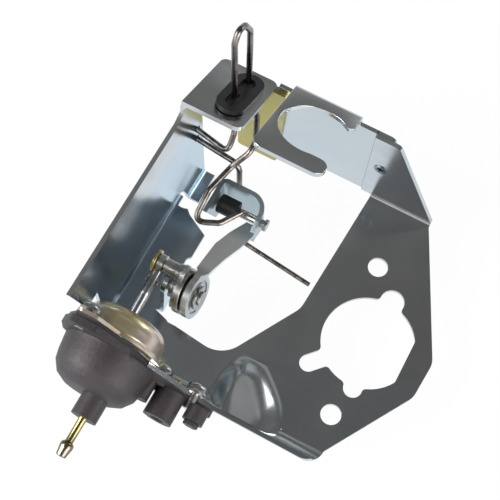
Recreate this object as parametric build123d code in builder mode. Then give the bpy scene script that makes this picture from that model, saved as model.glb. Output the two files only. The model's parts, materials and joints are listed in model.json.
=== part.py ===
"""Throttle control bracket with vacuum actuator, cable hook, grommet tab and throttle lever."""
# Frame: origin at the throat's centre on the base plate's underside.
# +X points to the side away from the left wall, +Y to the cable side, +Z out of the engine side.
from build123d import *
import math
import os

os.makedirs("parts", exist_ok=True)

# Driving dimensions in mm
sheet = 1.5
bend_in = 1.2
bend_out = bend_in + sheet
plate_top = sheet
stud_hole_r = 3.5
stud_a = (-8.8, 26.0)
stud_b = (0.0, -27.8)
throat_r = 16.0
throat_flat_x = 13.9
tab_tilt = math.radians(27)
wall_in_x = -82.2
wall_out_x = wall_in_x - sheet
wall_bend_x = wall_in_x + bend_in
gusset_in_y = 49.1
cable_wall_y = gusset_in_y + sheet
cable_wall_top = 43.1
lip_tangent_y = -39.8
lip_in_r = 5.0
lip_out_r = lip_in_r + sheet
lip_in_y = lip_tangent_y - lip_in_r
lip_out_y = lip_tangent_y - lip_out_r
lip_left_x = -60.0
lip_right_x = 3.4
dart_tip_y = -24.0
dart_rise = 5.4
cap_flange = 2.4
wire_r = 0.9
actuator_x = -70.0
actuator_z = 19.0
pivot_y = -17.5
pivot_z = 16.5
crank_y = -14.8
crank_z = 23.5
disc_r = 7.8
pin_y = 13.6
pin_z = 21.5
screw_head_r = 3.4
screw_spots = ((-54.0, 11.0, lip_in_y), (-41.5, 9.4, lip_in_y), (-78.6, 36.0, -43.6))

# Planes of the two slanted tabs, x along the bracket and y down the slope
tab_x = (1, 0, 0)
tab_z = (0, math.sin(tab_tilt), math.cos(tab_tilt))
hook_plane = Plane(origin=(0, 52.1, 47.4), x_dir=tab_x, z_dir=tab_z)
grommet_plane = Plane(origin=(0, 49.6, 43.5), x_dir=tab_x, z_dir=tab_z)
# Plane across the slope, for the bend between left wall and grommet tab
fold_plane = Plane(
    origin=(0, 49.6 - 17.0 * math.cos(tab_tilt), 43.5 + 17.0 * math.sin(tab_tilt)),
    x_dir=(1, 0, 0),
    z_dir=(0, -math.cos(tab_tilt), math.sin(tab_tilt)),
)
actuator_plane = Plane(origin=(actuator_x, 0, actuator_z), x_dir=(1, 0, 0), z_dir=(0, 0, 1))
actuator_axis = Axis((actuator_x, 0, actuator_z), (0, 1, 0))

# Base plate, C-shaped round the window
with BuildPart() as plate_block:
    with BuildSketch(Plane.XY) as plate_outline:
        with BuildLine():
            Polyline(
                (-23.0, 48.0), (0.4, 48.0), (22.3, 3.8), (21.5, -9.7), (3.4, lip_tangent_y),
                (lip_left_x, lip_tangent_y), (lip_left_x, -38.0), (wall_bend_x, -38.0),
                (wall_bend_x, 17.0), (-75.5, 11.9), (-67.2, 7.6), (-67.2, -1.6), (-68.4, -3.0),
                (-68.4, -24.0), (-62.9, -25.6), (-41.2, -27.8), (-25.5, -0.1), (-23.0, 48.0),
            )
        make_face()
        fillet(plate_outline.vertices().filter_by_position(Axis.X, 20.0, 23.0), radius=7.0)
        fillet(plate_outline.vertices().filter_by_position(Axis.X, -26.0, -25.0), radius=8.0)
        fillet(plate_outline.vertices().filter_by_position(Axis.X, -42.0, -41.0), radius=10.5)
    extrude(amount=sheet)
    # Round relief at the end of the wall bend
    with BuildSketch(Plane.XY):
        with Locations((-79.6, 18.2)):
            Circle(5.2)
    extrude(amount=sheet, mode=Mode.SUBTRACT)
    # Rounded slot beside the pivot ear
    with BuildSketch(Plane.XY):
        with BuildLine():
            Polyline((-58.0, -25.9), (-62.9, -25.9), (-65.6, -23.4), (-62.6, -21.5), (-58.0, -21.0), (-58.0, -25.9))
        make_face()
    extrude(amount=sheet, mode=Mode.SUBTRACT)

# Throat with three lobes and a flat side, and the two stud holes
with BuildPart() as throat_cut:
    with BuildSketch(Plane.XY) as throat_outline:
        Circle(throat_r)
        with Locations((1.0, 17.0)):
            Circle(4.2)
        with Locations(Location((-10.9, -11.9), 47.5)):
            SlotCenterToCenter(10.7, 6.0)
        with Locations((2.4, -16.5)):
            Circle(3.2)
        with Locations((throat_flat_x + throat_r, 0)):
            Rectangle(2 * throat_r, 2 * throat_r, mode=Mode.SUBTRACT)
        fillet(throat_outline.vertices(), radius=1.5)
        with Locations(stud_a, stud_b):
            Circle(stud_hole_r)
    extrude(amount=sheet)

# Left wall with turned-in foot, front relief for the actuator and riser of the grommet tab
with BuildPart() as wall_block:
    with BuildSketch(Plane.YZ.offset(wall_out_x)) as wall_outline:
        with BuildLine():
            Polyline(
                (-41.0, bend_out), (-41.0, 10.4), (-34.2, 10.4), (-34.2, 26.9), (-40.2, 26.9),
                (-44.5, 50.0), (19.6, 50.0), (23.2, 51.6), (23.9, 54.1), (34.3, 48.8), (34.3, -9.6),
                (22.0, -9.6), (19.4, 0.0), (17.0, bend_out), (-41.0, bend_out),
            )
        make_face()
        fillet(wall_outline.vertices().filter_by_position(Axis.Y, -44.6, -44.4), radius=2.0)
        fillet(wall_outline.vertices().filter_by_position(Axis.Y, -34.3, -34.1), radius=2.0)
    extrude(amount=sheet)
    # Holes of the two wires
    with BuildSketch(Plane.YZ.offset(wall_out_x)):
        with Locations((31.1, 27.9), (30.2, 22.6)):
            Circle(wire_r + 0.45)
    extrude(amount=sheet, mode=Mode.SUBTRACT)
    # Bend into the base plate
    with BuildSketch(Plane.XZ.offset(41.0)):
        with BuildLine():
            Line((wall_out_x, bend_out), (wall_in_x, bend_out))
            RadiusArc((wall_in_x, bend_out), (wall_bend_x, sheet), -bend_in)
            Line((wall_bend_x, sheet), (wall_bend_x, 0))
            RadiusArc((wall_bend_x, 0), (wall_out_x, bend_out), bend_out)
        make_face()
    extrude(amount=-58.0)
    # Foot turned in below the plate's level
    with BuildSketch(Plane.XZ.offset(-22.0)):
        with BuildLine():
            Line((wall_out_x, -9.6), (wall_in_x, -9.6))
            RadiusArc((wall_in_x, -9.6), (wall_bend_x, -9.6 - bend_in), -bend_in)
            Line((wall_bend_x, -9.6 - bend_in), (-78.0, -9.6 - bend_in))
            Line((-78.0, -9.6 - bend_in), (-78.0, -9.6 - bend_out))
            Line((-78.0, -9.6 - bend_out), (wall_bend_x, -9.6 - bend_out))
            RadiusArc((wall_bend_x, -9.6 - bend_out), (wall_out_x, -9.6), bend_out)
        make_face()
    extrude(amount=-12.3)

# Slanted tab of the grommet, folded from the riser
with BuildPart() as grommet_tab_block:
    with BuildSketch(grommet_plane) as tab_face:
        with Locations(((wall_bend_x - 63.0) / 2, -12.5)):
            Rectangle(abs(wall_bend_x + 63.0), 30.6)
        fillet(tab_face.vertices().sort_by(Axis.X)[2:], radius=3.0)
        with Locations(Location((-70.6, -12.4), 90)):
            SlotOverall(23.4, 9.6, mode=Mode.SUBTRACT)
    extrude(amount=-sheet)
    with BuildSketch(grommet_plane) as tab_left:
        with Locations(((wall_out_x + wall_bend_x) / 2, -12.5)):
            Rectangle(abs(wall_out_x - wall_bend_x), 30.6)
        fillet(tab_left.vertices().group_by(Axis.X)[0], radius=2.6)
    extrude(amount=-sheet)
    with BuildSketch(fold_plane) as fold_outline:
        with BuildLine():
            Line((wall_out_x, -bend_out), (wall_in_x, -bend_out))
            RadiusArc((wall_in_x, -bend_out), (wall_bend_x, -sheet), bend_in)
            Line((wall_bend_x, -sheet), (wall_bend_x, 0))
            Line((wall_bend_x, 0), (wall_out_x, 0))
            Line((wall_out_x, 0), (wall_out_x, -bend_out))
        make_face()
    extrude(amount=10.8)

# Front lip: quarter bend, face with falling top edge, and round relief for the diaphragm
with BuildPart() as lip_block:
    with BuildSketch(Plane.YZ.offset(lip_left_x)):
        with BuildLine():
            Line((lip_tangent_y, 0), (lip_tangent_y, sheet))
            RadiusArc((lip_tangent_y, sheet), (lip_in_y, lip_out_r), lip_in_r)
            Line((lip_in_y, lip_out_r), (lip_out_y, lip_out_r))
            RadiusArc((lip_out_y, lip_out_r), (lip_tangent_y, 0), -lip_out_r)
        make_face()
    extrude(amount=lip_right_x - lip_left_x)
    with BuildSketch(Plane.XZ.offset(-lip_in_y)) as lip_face:
        with BuildLine():
            Polyline(
                (lip_left_x, lip_out_r), (lip_left_x, 21.4), (-58.4, 21.9), (-50.0, 16.6), (-44.0, 12.2),
                (-39.5, 9.2), (-35.0, 7.7), (lip_right_x - 2.0, 7.2), (lip_right_x, lip_out_r),
                (lip_left_x, lip_out_r),
            )
        make_face()
    extrude(amount=sheet)
    with BuildSketch(Plane.XZ.offset(-lip_in_y)):
        with Locations((actuator_x, actuator_z)):
            Circle(12.8)
        with Locations((screw_spots[0][0], screw_spots[0][1]), (screw_spots[1][0], screw_spots[1][1])):
            Circle(2.0)
        with Locations((-48.0, 10.6)):
            Circle(1.3)
    extrude(amount=sheet, mode=Mode.SUBTRACT)
    # Rounded corner at the lip's right end
    with BuildSketch(Plane.XY.offset(-1.0)):
        with BuildLine():
            ThreePointArc(
                (lip_right_x - lip_out_r, lip_out_y),
                (lip_right_x - lip_out_r * (1 - math.sqrt(0.5)), lip_tangent_y - lip_out_r * math.sqrt(0.5)),
                (lip_right_x, lip_tangent_y),
            )
            Polyline(
                (lip_right_x, lip_tangent_y), (lip_right_x + 1.0, lip_tangent_y), (lip_right_x + 1.0, lip_out_y - 1.0),
                (lip_right_x - lip_out_r, lip_out_y - 1.0), (lip_right_x - lip_out_r, lip_out_y),
            )
        make_face()
    extrude(amount=12.0, mode=Mode.SUBTRACT)



# Stiffening dart pressed across the lip's bend: a ramp between two slanted flanks
def plane_through(a, b, c):
    a, b, c = Vector(a), Vector(b), Vector(c)
    return Plane(origin=a, x_dir=b - a, z_dir=(b - a).cross(c - a))


left_flank = plane_through((-35.5, -25.0, sheet), (-39.5, -38.0, sheet), (-33.8, -37.8, sheet + dart_rise * 0.66))
right_flank = plane_through((-29.0, -24.2, sheet), (-18.8, -37.0, sheet + dart_rise * 0.62), (-15.0, -34.5, sheet))
with BuildPart() as dart_block:
    with BuildSketch(Plane.YZ.offset(-42.0)):
        with BuildLine():
            Polyline(
                (dart_tip_y, sheet), (lip_in_y - 0.1, sheet + dart_rise), (lip_in_y - 0.1, sheet + 3.0),
                (-41.0, sheet + 0.2), (-39.0, 0.5), (dart_tip_y, 0.5), (dart_tip_y, sheet),
            )
        make_face()
    extrude(amount=32.0)
    split(bisect_by=left_flank, keep=Keep.BOTTOM)
    split(bisect_by=right_flank, keep=Keep.BOTTOM)

# Hollow side of the dart, open below and through the bend
with BuildPart() as dart_hollow:
    with BuildSketch(Plane.YZ.offset(-42.0)):
        with BuildLine():
            Polyline(
                (dart_tip_y, 0), (lip_in_y, dart_rise), (lip_out_y - 0.5, dart_rise + 0.4), (lip_out_y - 0.5, -2.0),
                (dart_tip_y, -2.0), (dart_tip_y, 0),
            )
        make_face()
    extrude(amount=32.0)
    split(bisect_by=left_flank.offset(-sheet), keep=Keep.BOTTOM)
    split(bisect_by=right_flank.offset(-sheet), keep=Keep.BOTTOM)

with BuildPart() as gusset_block:
    # Upright gusset at the back right, with its bend
    with BuildSketch(Plane.XZ.offset(-gusset_in_y)) as gusset_outline:
        with BuildLine():
            Polyline(
                (-26.9, 2.9), (-26.9, cable_wall_top), (-18.2, cable_wall_top), (0.4, bend_out),
                (-23.0, bend_out), (-26.9, 2.9),
            )
        make_face()
        fillet(gusset_outline.vertices().filter_by_position(Axis.X, -19.0, -18.0), radius=2.5)
    extrude(amount=-sheet)
    with BuildSketch(Plane.YZ.offset(-23.0)):
        with BuildLine():
            Line((48.0, 0), (48.0, sheet))
            RadiusArc((48.0, sheet), (gusset_in_y, bend_out), -1.1)
            Line((gusset_in_y, bend_out), (cable_wall_y, bend_out))
            RadiusArc((cable_wall_y, bend_out), (48.0, 0), 2.6)
        make_face()
    extrude(amount=23.4)
    with BuildSketch(Plane.XZ.offset(-gusset_in_y)):
        with Locations((-22.3, 23.9)):
            Circle(1.5)
    extrude(amount=-sheet, mode=Mode.SUBTRACT)

# Ear of the pivot stud, folded up from the slot's edge
ear_in_x = -67.2
ear_out_x = -65.7
with BuildPart() as ear_block:
    with BuildSketch(Plane.YZ.offset(ear_in_x)) as ear_outline:
        with BuildLine():
            Polyline((-23.6, bend_out), (-21.4, 17.0), (-13.6, 17.0), (-8.0, bend_out), (-23.6, bend_out))
        make_face()
        with Locations((pivot_y, pivot_z)):
            Circle(4.3)
    extrude(amount=sheet)
    with BuildSketch(Plane.XZ.offset(23.6)):
        with BuildLine():
            Line((ear_in_x, bend_out), (ear_out_x, bend_out))
            RadiusArc((ear_out_x, bend_out), (-68.4, 0), bend_out)
            Line((-68.4, 0), (-68.4, sheet))
            RadiusArc((-68.4, sheet), (ear_in_x, bend_out), -bend_in)
        make_face()
    extrude(amount=-15.6)
    with BuildSketch(Plane.YZ.offset(ear_in_x)):
        with Locations((pivot_y, pivot_z)):
            Circle(2.5)
    extrude(amount=sheet, mode=Mode.SUBTRACT)

with BuildPart() as main_bracket:
    add(plate_block.part)
    add(throat_cut.part, mode=Mode.SUBTRACT)
    add(wall_block.part)
    add(grommet_tab_block.part)
    add(lip_block.part)
    add(dart_block.part)
    add(dart_hollow.part, mode=Mode.SUBTRACT)
    add(gusset_block.part)
    add(ear_block.part)
main_bracket.part.label = "main_bracket"
export_step(main_bracket.part, "parts/main_bracket.step")

# Cable bracket: upright sheet with the slanted open hook
fold_run = bend_out * math.tan((math.pi / 2 - tab_tilt) / 2)
hook_y = 52.1
hook_z = 47.4
slope = (-math.cos(tab_tilt), math.sin(tab_tilt))
inner = (-math.sin(tab_tilt), -math.cos(tab_tilt))
out_low = (hook_y, hook_z - fold_run)
out_high = (hook_y + slope[0] * fold_run, hook_z + slope[1] * fold_run)
tip_out = (hook_y + slope[0] * 37.0, hook_z + slope[1] * 37.0)
tip_in = (tip_out[0] + inner[0] * sheet, tip_out[1] + inner[1] * sheet)
in_high = (out_high[0] + inner[0] * sheet, out_high[1] + inner[1] * sheet)
in_low = (hook_y - sheet, hook_z - fold_run)
with BuildPart() as cable_bracket:
    with BuildSketch(Plane.XZ.offset(-cable_wall_y)) as cable_outline:
        with Locations((-49.1, (1.2 + cable_wall_top) / 2)):
            Rectangle(57.8, cable_wall_top - 1.2)
        fillet(cable_outline.vertices().group_by(Axis.Y)[-1], radius=2.5)
        with Locations((-45.0, cable_wall_top + 0.6)):
            Rectangle(23.8, 5.2)
        with Locations((-22.3, 23.9)):
            Circle(1.5, mode=Mode.SUBTRACT)
        # Step down under the grommet tab
        with Locations((-70.6, 43.1)):
            Rectangle(16.0, 6.0, mode=Mode.SUBTRACT)
    extrude(amount=-sheet)
    with BuildSketch(Plane.XZ.offset(-cable_wall_y)):
        with Locations((-45.0, hook_z - fold_run + 5.0)):
            Rectangle(24.2, 10.0)
    extrude(amount=-sheet, mode=Mode.SUBTRACT)
    with BuildSketch(Plane.YZ.offset(-56.9)):
        with BuildLine():
            Line(in_low, out_low)
            RadiusArc(out_low, out_high, -bend_out)
            Line(out_high, tip_out)
            Line(tip_out, tip_in)
            Line(tip_in, in_high)
            RadiusArc(in_high, in_low, bend_in)
        make_face()
    extrude(amount=23.8)
    # Open hook for the cable end
    with BuildSketch(hook_plane) as hook_cut:
        with Locations((-43.0, -18.0)):
            Circle(11.8)
        with BuildLine():
            Polyline(
                (-40.0, -29.4), (-30.0, -29.4), (-30.0, -8.4), (-33.1, -8.4), (-34.3, -9.6), (-36.2, -9.6),
                (-38.0, -12.0), (-40.0, -29.4),
            )
        make_face()
    extrude(amount=-5.0, mode=Mode.SUBTRACT)
    hook_corners = cable_bracket.edges().filter_by(
        lambda e: abs(e.length - sheet) < 0.01 and e.center().Y < 22.0
    )
    fillet(hook_corners.sort_by(Axis.X)[0], radius=3.5)
    jaw_corners = cable_bracket.edges().filter_by(
        lambda e: abs(e.length - sheet) < 0.01 and abs(e.center().X + 33.1) < 0.05 and e.center().Y < 30.0
    )
    fillet(jaw_corners, radius=3.4)
cable_bracket.part.label = "cable_bracket"
export_step(cable_bracket.part, "parts/cable_bracket.step")

with BuildPart() as clinch_rivet:
    with Locations(Location((-22.3, gusset_in_y, 23.9), (-90, 0, 0))):
        Cylinder(1.5, 2 * sheet, align=(Align.CENTER, Align.CENTER, Align.MIN))
    with Locations(Location((-22.3, gusset_in_y - 0.3, 23.9), (-90, 0, 0))):
        Cylinder(2.1, 0.3, align=(Align.CENTER, Align.CENTER, Align.MIN))
    with Locations(Location((-22.3, hook_y, 23.9), (-90, 0, 0))):
        Cylinder(2.3, 0.9, align=(Align.CENTER, Align.CENTER, Align.MIN))
    with Locations(Location((-22.3, gusset_in_y - 0.3, 23.9), (-90, 0, 0))):
        Cylinder(1.1, 1.4, align=(Align.CENTER, Align.CENTER, Align.MIN), mode=Mode.SUBTRACT)
clinch_rivet.part.label = "clinch_rivet"
export_step(clinch_rivet.part, "parts/clinch_rivet.step")

with BuildPart() as stop_plate:
    with BuildSketch(Plane.XZ.offset(-gusset_in_y)) as stop_outline:
        with BuildLine():
            Polyline((-76.5, -8.5), (-60.5, -8.5), (-58.6, 40.8), (-76.5, 40.8), (-76.5, -8.5))
        make_face()
        fillet(stop_outline.vertices(), radius=1.5)
    extrude(amount=-sheet)
stop_plate.part.label = "stop_plate"
export_step(stop_plate.part, "parts/stop_plate.step")

# Rubber grommet with holes for the two legs of the bail wire
with BuildPart() as grommet:
    with BuildSketch(grommet_plane):
        with Locations(Location((-70.6, -12.4), 90)):
            SlotOverall(25.3, 11.5)
    extrude(amount=1.6)
    with BuildSketch(grommet_plane):
        with Locations(Location((-70.6, -12.4), 90)):
            SlotOverall(23.4, 9.6)
    extrude(amount=-sheet)
    with BuildSketch(grommet_plane.offset(-sheet)):
        with Locations(Location((-70.6, -12.4), 90)):
            SlotOverall(25.0, 11.2)
    extrude(amount=-2.0)
    with BuildSketch(grommet_plane.offset(1.6)):
        with Locations(Location((-70.6, -12.4), 90)):
            SlotOverall(19.0, 5.2)
    extrude(amount=-0.9, mode=Mode.SUBTRACT)
    with BuildSketch(Plane.XY.offset(40.0)):
        with Locations((-71.5, 37.3), (-71.5, 46.5)):
            Circle(wire_r + 0.4)
    extrude(amount=16.0, mode=Mode.SUBTRACT)
grommet.part.label = "grommet"
export_step(grommet.part, "parts/grommet.step")

with BuildPart() as bail_wire:
    with BuildLine() as bail_path:
        FilletPolyline(
            (-84.6, 31.5, 27.5), (-68.4, 26.6, 32.0), (-69.4, 33.0, 34.0), (-71.5, 37.5, 40.0),
            (-71.5, 36.6, 60.0), (-71.5, 36.2, 82.6), (-71.5, 38.6, 86.4), (-71.5, 42.6, 83.6),
            (-71.5, 46.0, 76.4), (-71.5, 46.3, 68.0), (-71.5, 46.6, 39.0),
            (-64.4, 39.1, 38.8), (-60.8, 31.6, 38.6), (-60.8, 27.5, 37.6), (-64.7, 22.8, 32.2),
            (-67.5, 12.2, 30.8), (-67.5, 1.6, 26.6), (-59.6, 5.3, 26.5), (-55.3, 12.2, 26.5),
            radius=1.6,
        )
    with BuildSketch(Plane(origin=bail_path.line @ 0, z_dir=bail_path.line % 0)):
        RegularPolygon(wire_r, 8)
    sweep(transition=Transition.RIGHT)
bail_wire.part.label = "bail_wire"
export_step(bail_wire.part, "parts/bail_wire.step")

with BuildPart() as anchor_wire:
    with BuildLine() as anchor_path:
        FilletPolyline(
            (-84.6, 30.6, 22.0), (-66.3, 27.3, 25.6), (-63.8, 26.4, 24.0), (-63.2, 25.6, 8.0),
            radius=1.6,
        )
    with BuildSketch(Plane(origin=anchor_path.line @ 0, z_dir=anchor_path.line % 0)):
        RegularPolygon(wire_r, 8)
    sweep(transition=Transition.RIGHT)
anchor_wire.part.label = "anchor_wire"
export_step(anchor_wire.part, "parts/anchor_wire.step")

# Die-cast cap of the actuator
with BuildPart() as diaphragm_cap:
    with BuildSketch(Plane.XZ.offset(-lip_out_y)) as cap_outline:
        with BuildLine():
            Polyline(
                (-85.0, 9.0), (-86.5, 14.0), (-84.4, 19.0), (-86.5, 24.0), (-85.5, 33.0), (-81.5, 40.6),
                (-73.0, 40.6), (-62.0, 33.0), (-57.5, 20.4), (-49.5, 15.0), (-43.0, 10.6), (-33.4, 7.0),
                (-35.0, 3.6), (-56.0, 1.6), (-80.0, 1.6), (-85.0, 9.0),
            )
        make_face()
        fillet(cap_outline.vertices(), radius=1.6)
    extrude(amount=cap_flange)
    # Raised pad left of the lip
    with BuildSketch(Plane.XZ.offset(-lip_out_y)):
        with BuildLine():
            Polyline(
                (-84.4, 10.0), (-85.8, 14.0), (-83.8, 19.0), (-85.8, 24.0), (-84.8, 32.4), (-81.0, 39.8),
                (-73.2, 39.8), (-63.4, 33.0), (-60.4, 27.0), (-60.4, 2.6), (-79.6, 2.6), (-84.4, 10.0),
            )
        make_face()
    extrude(amount=-(lip_in_y - lip_out_y))
    with BuildSketch(Plane.XZ.offset(-lip_out_y)):
        with Locations((actuator_x, actuator_z)):
            Circle(12.6)
    extrude(amount=-0.7)
    # Bowl, neck and bosses
    with BuildSketch(actuator_plane):
        with BuildLine():
            Polyline(
                (0, -48.0), (16.0, -48.0), (15.0, -54.7), (14.2, -57.8), (11.9, -60.9), (8.6, -62.5),
                (0, -62.5), (0, -48.0),
            )
        make_face()
    revolve(axis=actuator_axis)
    with Locations(Location((-66.9, -60.8, actuator_z), (90, 0, 0))):
        Cylinder(4.4, 9.0, align=(Align.CENTER, Align.CENTER, Align.MIN))
    with Locations(Location((-48.0, -48.0, 11.3), (90, 0, 0))):
        Cylinder(5.0, 10.0, align=(Align.CENTER, Align.CENTER, Align.MIN))
    with Locations(Location((-37.9, -48.0, 9.6), (90, 0, 0))):
        Cylinder(3.6, 5.2, align=(Align.CENTER, Align.CENTER, Align.MIN))
    with Locations(Location((-56.2, -48.0, 14.6), (90, 0, 0))):
        Cylinder(3.2, 7.4, align=(Align.CENTER, Align.CENTER, Align.MIN))
    # Seat of the diaphragm, chamber and passages
    with BuildSketch(actuator_plane):
        with BuildLine():
            Polyline(
                (0, -44.0), (12.5, -44.0), (12.5, -45.6), (10.5, -45.6), (10.5, -56.0), (9.0, -59.6), (0, -59.6),
                (0, -44.0),
            )
        make_face()
    revolve(axis=actuator_axis, mode=Mode.SUBTRACT)
    with Locations(Location((-66.9, -59.0, actuator_z), (90, 0, 0))):
        Cylinder(1.5, 12.0, align=(Align.CENTER, Align.CENTER, Align.MIN), mode=Mode.SUBTRACT)
    with Locations(Location((-48.0, -51.5, 11.3), (90, 0, 0))):
        Cylinder(2.4, 8.0, align=(Align.CENTER, Align.CENTER, Align.MIN), mode=Mode.SUBTRACT)
    with Locations(Location((-37.9, -50.4, 9.6), (90, 0, 0))):
        Cylinder(2.0, 4.0, align=(Align.CENTER, Align.CENTER, Align.MIN), mode=Mode.SUBTRACT)
    with Locations(*[Location((x, -44.0, z), (90, 0, 0)) for x, z, _ in screw_spots]):
        Cylinder(1.7, 6.6, align=(Align.CENTER, Align.CENTER, Align.MIN), mode=Mode.SUBTRACT)
diaphragm_cap.part.label = "diaphragm_cap"
export_step(diaphragm_cap.part, "parts/diaphragm_cap.step")

with BuildPart() as port_plug:
    with Locations(Location((-37.9, -50.4, 9.6), (90, 0, 0))):
        Cylinder(1.98, 3.0, align=(Align.CENTER, Align.CENTER, Align.MIN))
    with BuildSketch(Plane.XZ.offset(53.2)):
        with Locations((-37.9, 9.6)):
            RegularPolygon(2.7, 6)
    extrude(amount=1.6)
port_plug.part.label = "port_plug"
export_step(port_plug.part, "parts/port_plug.step")

with BuildPart() as vacuum_nipple:
    with BuildSketch(Plane(origin=(-66.9, 0, actuator_z), x_dir=(1, 0, 0), z_dir=(0, 0, 1))):
        with BuildLine():
            Polyline(
                (0.6, -66.0), (1.5, -66.0), (1.5, -69.8), (2.6, -69.8), (2.6, -71.2), (1.3, -71.8), (1.3, -79.6),
                (1.95, -80.2), (1.95, -80.9), (1.25, -83.2), (0.6, -83.2), (0.6, -66.0),
            )
        make_face()
    revolve(axis=Axis((-66.9, 0, actuator_z), (0, 1, 0)))
vacuum_nipple.part.label = "vacuum_nipple"
export_step(vacuum_nipple.part, "parts/vacuum_nipple.step")

# Chromated dome cover with its rounded triangular flange
with BuildPart() as dome_cover:
    with BuildSketch(Plane.XZ.offset(-lip_in_y)) as dome_flange:
        with BuildLine():
            Polyline(
                (-81.7, 3.0), (-81.7, 41.0), (-74.5, 40.6), (-66.4, 34.0), (-57.4, 22.6), (-56.4, 15.0),
                (-60.4, 9.0), (-60.4, 3.0), (-81.7, 3.0),
            )
        make_face()
        fillet(dome_flange.vertices(), radius=2.5)
    extrude(amount=-1.2)
    with BuildSketch(actuator_plane):
        with BuildLine():
            Polyline((0, -44.8), (14.2, -44.8), (14.2, -38.2), (13.2, -35.8), (10.8, -34.7), (0, -34.7), (0, -44.8))
        make_face()
    revolve(axis=actuator_axis)
    with BuildSketch(actuator_plane):
        with BuildLine():
            Polyline((0, -45.0), (13.2, -45.0), (13.2, -38.5), (12.4, -36.6), (10.4, -35.7), (0, -35.7), (0, -45.0))
        make_face()
    revolve(axis=actuator_axis, mode=Mode.SUBTRACT)
    with Locations(Location((actuator_x, -36.0, actuator_z), (-90, 0, 0))):
        Cylinder(3.5, 3.0, align=(Align.CENTER, Align.CENTER, Align.MIN), mode=Mode.SUBTRACT)
    with Locations(Location((screw_spots[2][0], -45.0, screw_spots[2][1]), (-90, 0, 0))):
        Cylinder(2.0, 3.0, align=(Align.CENTER, Align.CENTER, Align.MIN), mode=Mode.SUBTRACT)
dome_cover.part.label = "dome_cover"
export_step(dome_cover.part, "parts/dome_cover.step")

with BuildPart() as diaphragm:
    with BuildSketch(actuator_plane):
        with BuildLine():
            Polyline(
                (8.3, -45.3), (10.2, -43.4), (11.2, -44.9), (12.4, -44.9), (12.4, -45.6), (10.9, -45.6),
                (10.2, -44.6), (8.6, -45.9), (8.3, -45.3),
            )
        make_face()
    revolve(axis=actuator_axis)
diaphragm.part.label = "diaphragm"
export_step(diaphragm.part, "parts/diaphragm.step")

with BuildPart() as diaphragm_plate:
    with Locations(Location((actuator_x, -46.2, actuator_z), (-90, 0, 0))):
        Cylinder(8.1, 1.2, align=(Align.CENTER, Align.CENTER, Align.MIN))
        Cylinder(2.6, 2.4, align=(Align.CENTER, Align.CENTER, Align.MIN))
        Cylinder(1.4, 2.4, align=(Align.CENTER, Align.CENTER, Align.MIN), mode=Mode.SUBTRACT)
diaphragm_plate.part.label = "diaphragm_plate"
export_step(diaphragm_plate.part, "parts/diaphragm_plate.step")

with BuildPart() as return_spring:
    with BuildLine() as spring_path:
        Helix(pitch=3.9, height=11.7, radius=6.6, center=(actuator_x, -58.6, actuator_z), direction=(0, 1, 0))
    with BuildSketch(Plane(origin=spring_path.line @ 0, z_dir=spring_path.line % 0)):
        Rectangle(1.0, 1.0)
    sweep(is_frenet=True)
return_spring.part.label = "return_spring"
export_step(return_spring.part, "parts/return_spring.step")

# Pull rod with its slotted eye
eye_slot_w = 3.2
eye_slot_h = 4.8
eye_mid_z = crank_z + 1.6 - eye_slot_h / 2
rod_x = actuator_x
with BuildPart() as pull_rod:
    with BuildLine() as rod_path:
        FilletPolyline((rod_x, -46.2, actuator_z), (rod_x, -26.0, actuator_z), (rod_x, -17.4, eye_mid_z), radius=4.0)
    with BuildSketch(Plane(origin=(rod_x, -46.2, actuator_z), z_dir=(0, 1, 0))):
        Circle(1.38)
    sweep()
    with BuildSketch(Plane.YZ.offset(rod_x - 1.0)):
        with Locations(Location((crank_y, eye_mid_z), 90)):
            SlotOverall(eye_slot_h + 2.6, eye_slot_w + 2.8)
    extrude(amount=2.0)
    with BuildSketch(Plane.YZ.offset(rod_x - 3.0)):
        with Locations(Location((crank_y, eye_mid_z), 90)):
            SlotOverall(eye_slot_h, eye_slot_w)
    extrude(amount=6.0, mode=Mode.SUBTRACT)
    with Locations(Location((rod_x - 3.0, -20.8, 20.9), (0, 90, 0))):
        Cylinder(0.8, 6.0, align=(Align.CENTER, Align.CENTER, Align.MIN), mode=Mode.SUBTRACT)
pull_rod.part.label = "pull_rod"
export_step(pull_rod.part, "parts/pull_rod.step")

with BuildPart() as rod_pin:
    with Locations(Location((rod_x - 2.4, -20.8, 20.9), (0, 90, 0))):
        Cylinder(0.8, 4.4, align=(Align.CENTER, Align.CENTER, Align.MIN))
        Cylinder(1.4, 0.9, align=(Align.CENTER, Align.CENTER, Align.MIN))
rod_pin.part.label = "rod_pin"
export_step(rod_pin.part, "parts/rod_pin.step")

with BuildPart() as flange_screws:
    for x, z, seat in screw_spots:
        with Locations(Location((x, seat, z), (-90, 0, 0))):
            Cylinder(1.7, 1.0, align=(Align.CENTER, Align.CENTER, Align.MIN))
        with Locations(Location((x, seat, z), (90, 0, 0))):
            Cylinder(1.68, 5.4, align=(Align.CENTER, Align.CENTER, Align.MIN))
        with Locations(Location((x, seat + 1.0, z), (-90, 0, 0))):
            Cylinder(screw_head_r, 2.6, align=(Align.CENTER, Align.CENTER, Align.MIN))
        with Locations(Location((x, seat + 2.2, z), (-90, 0, 0))):
            Box(0.7, 3.8, 1.6, align=(Align.CENTER, Align.CENTER, Align.MIN), mode=Mode.SUBTRACT)
            Box(3.8, 0.7, 1.6, align=(Align.CENTER, Align.CENTER, Align.MIN), mode=Mode.SUBTRACT)
    chamfer(
        flange_screws.edges().filter_by(GeomType.CIRCLE).filter_by(
            lambda e: abs(e.radius - screw_head_r) < 0.01 and e.center().Y > lip_in_y + 3.5
        ),
        length=0.7,
    )
flange_screws.part.label = "flange_screws"
export_step(flange_screws.part, "parts/flange_screws.step")

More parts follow.
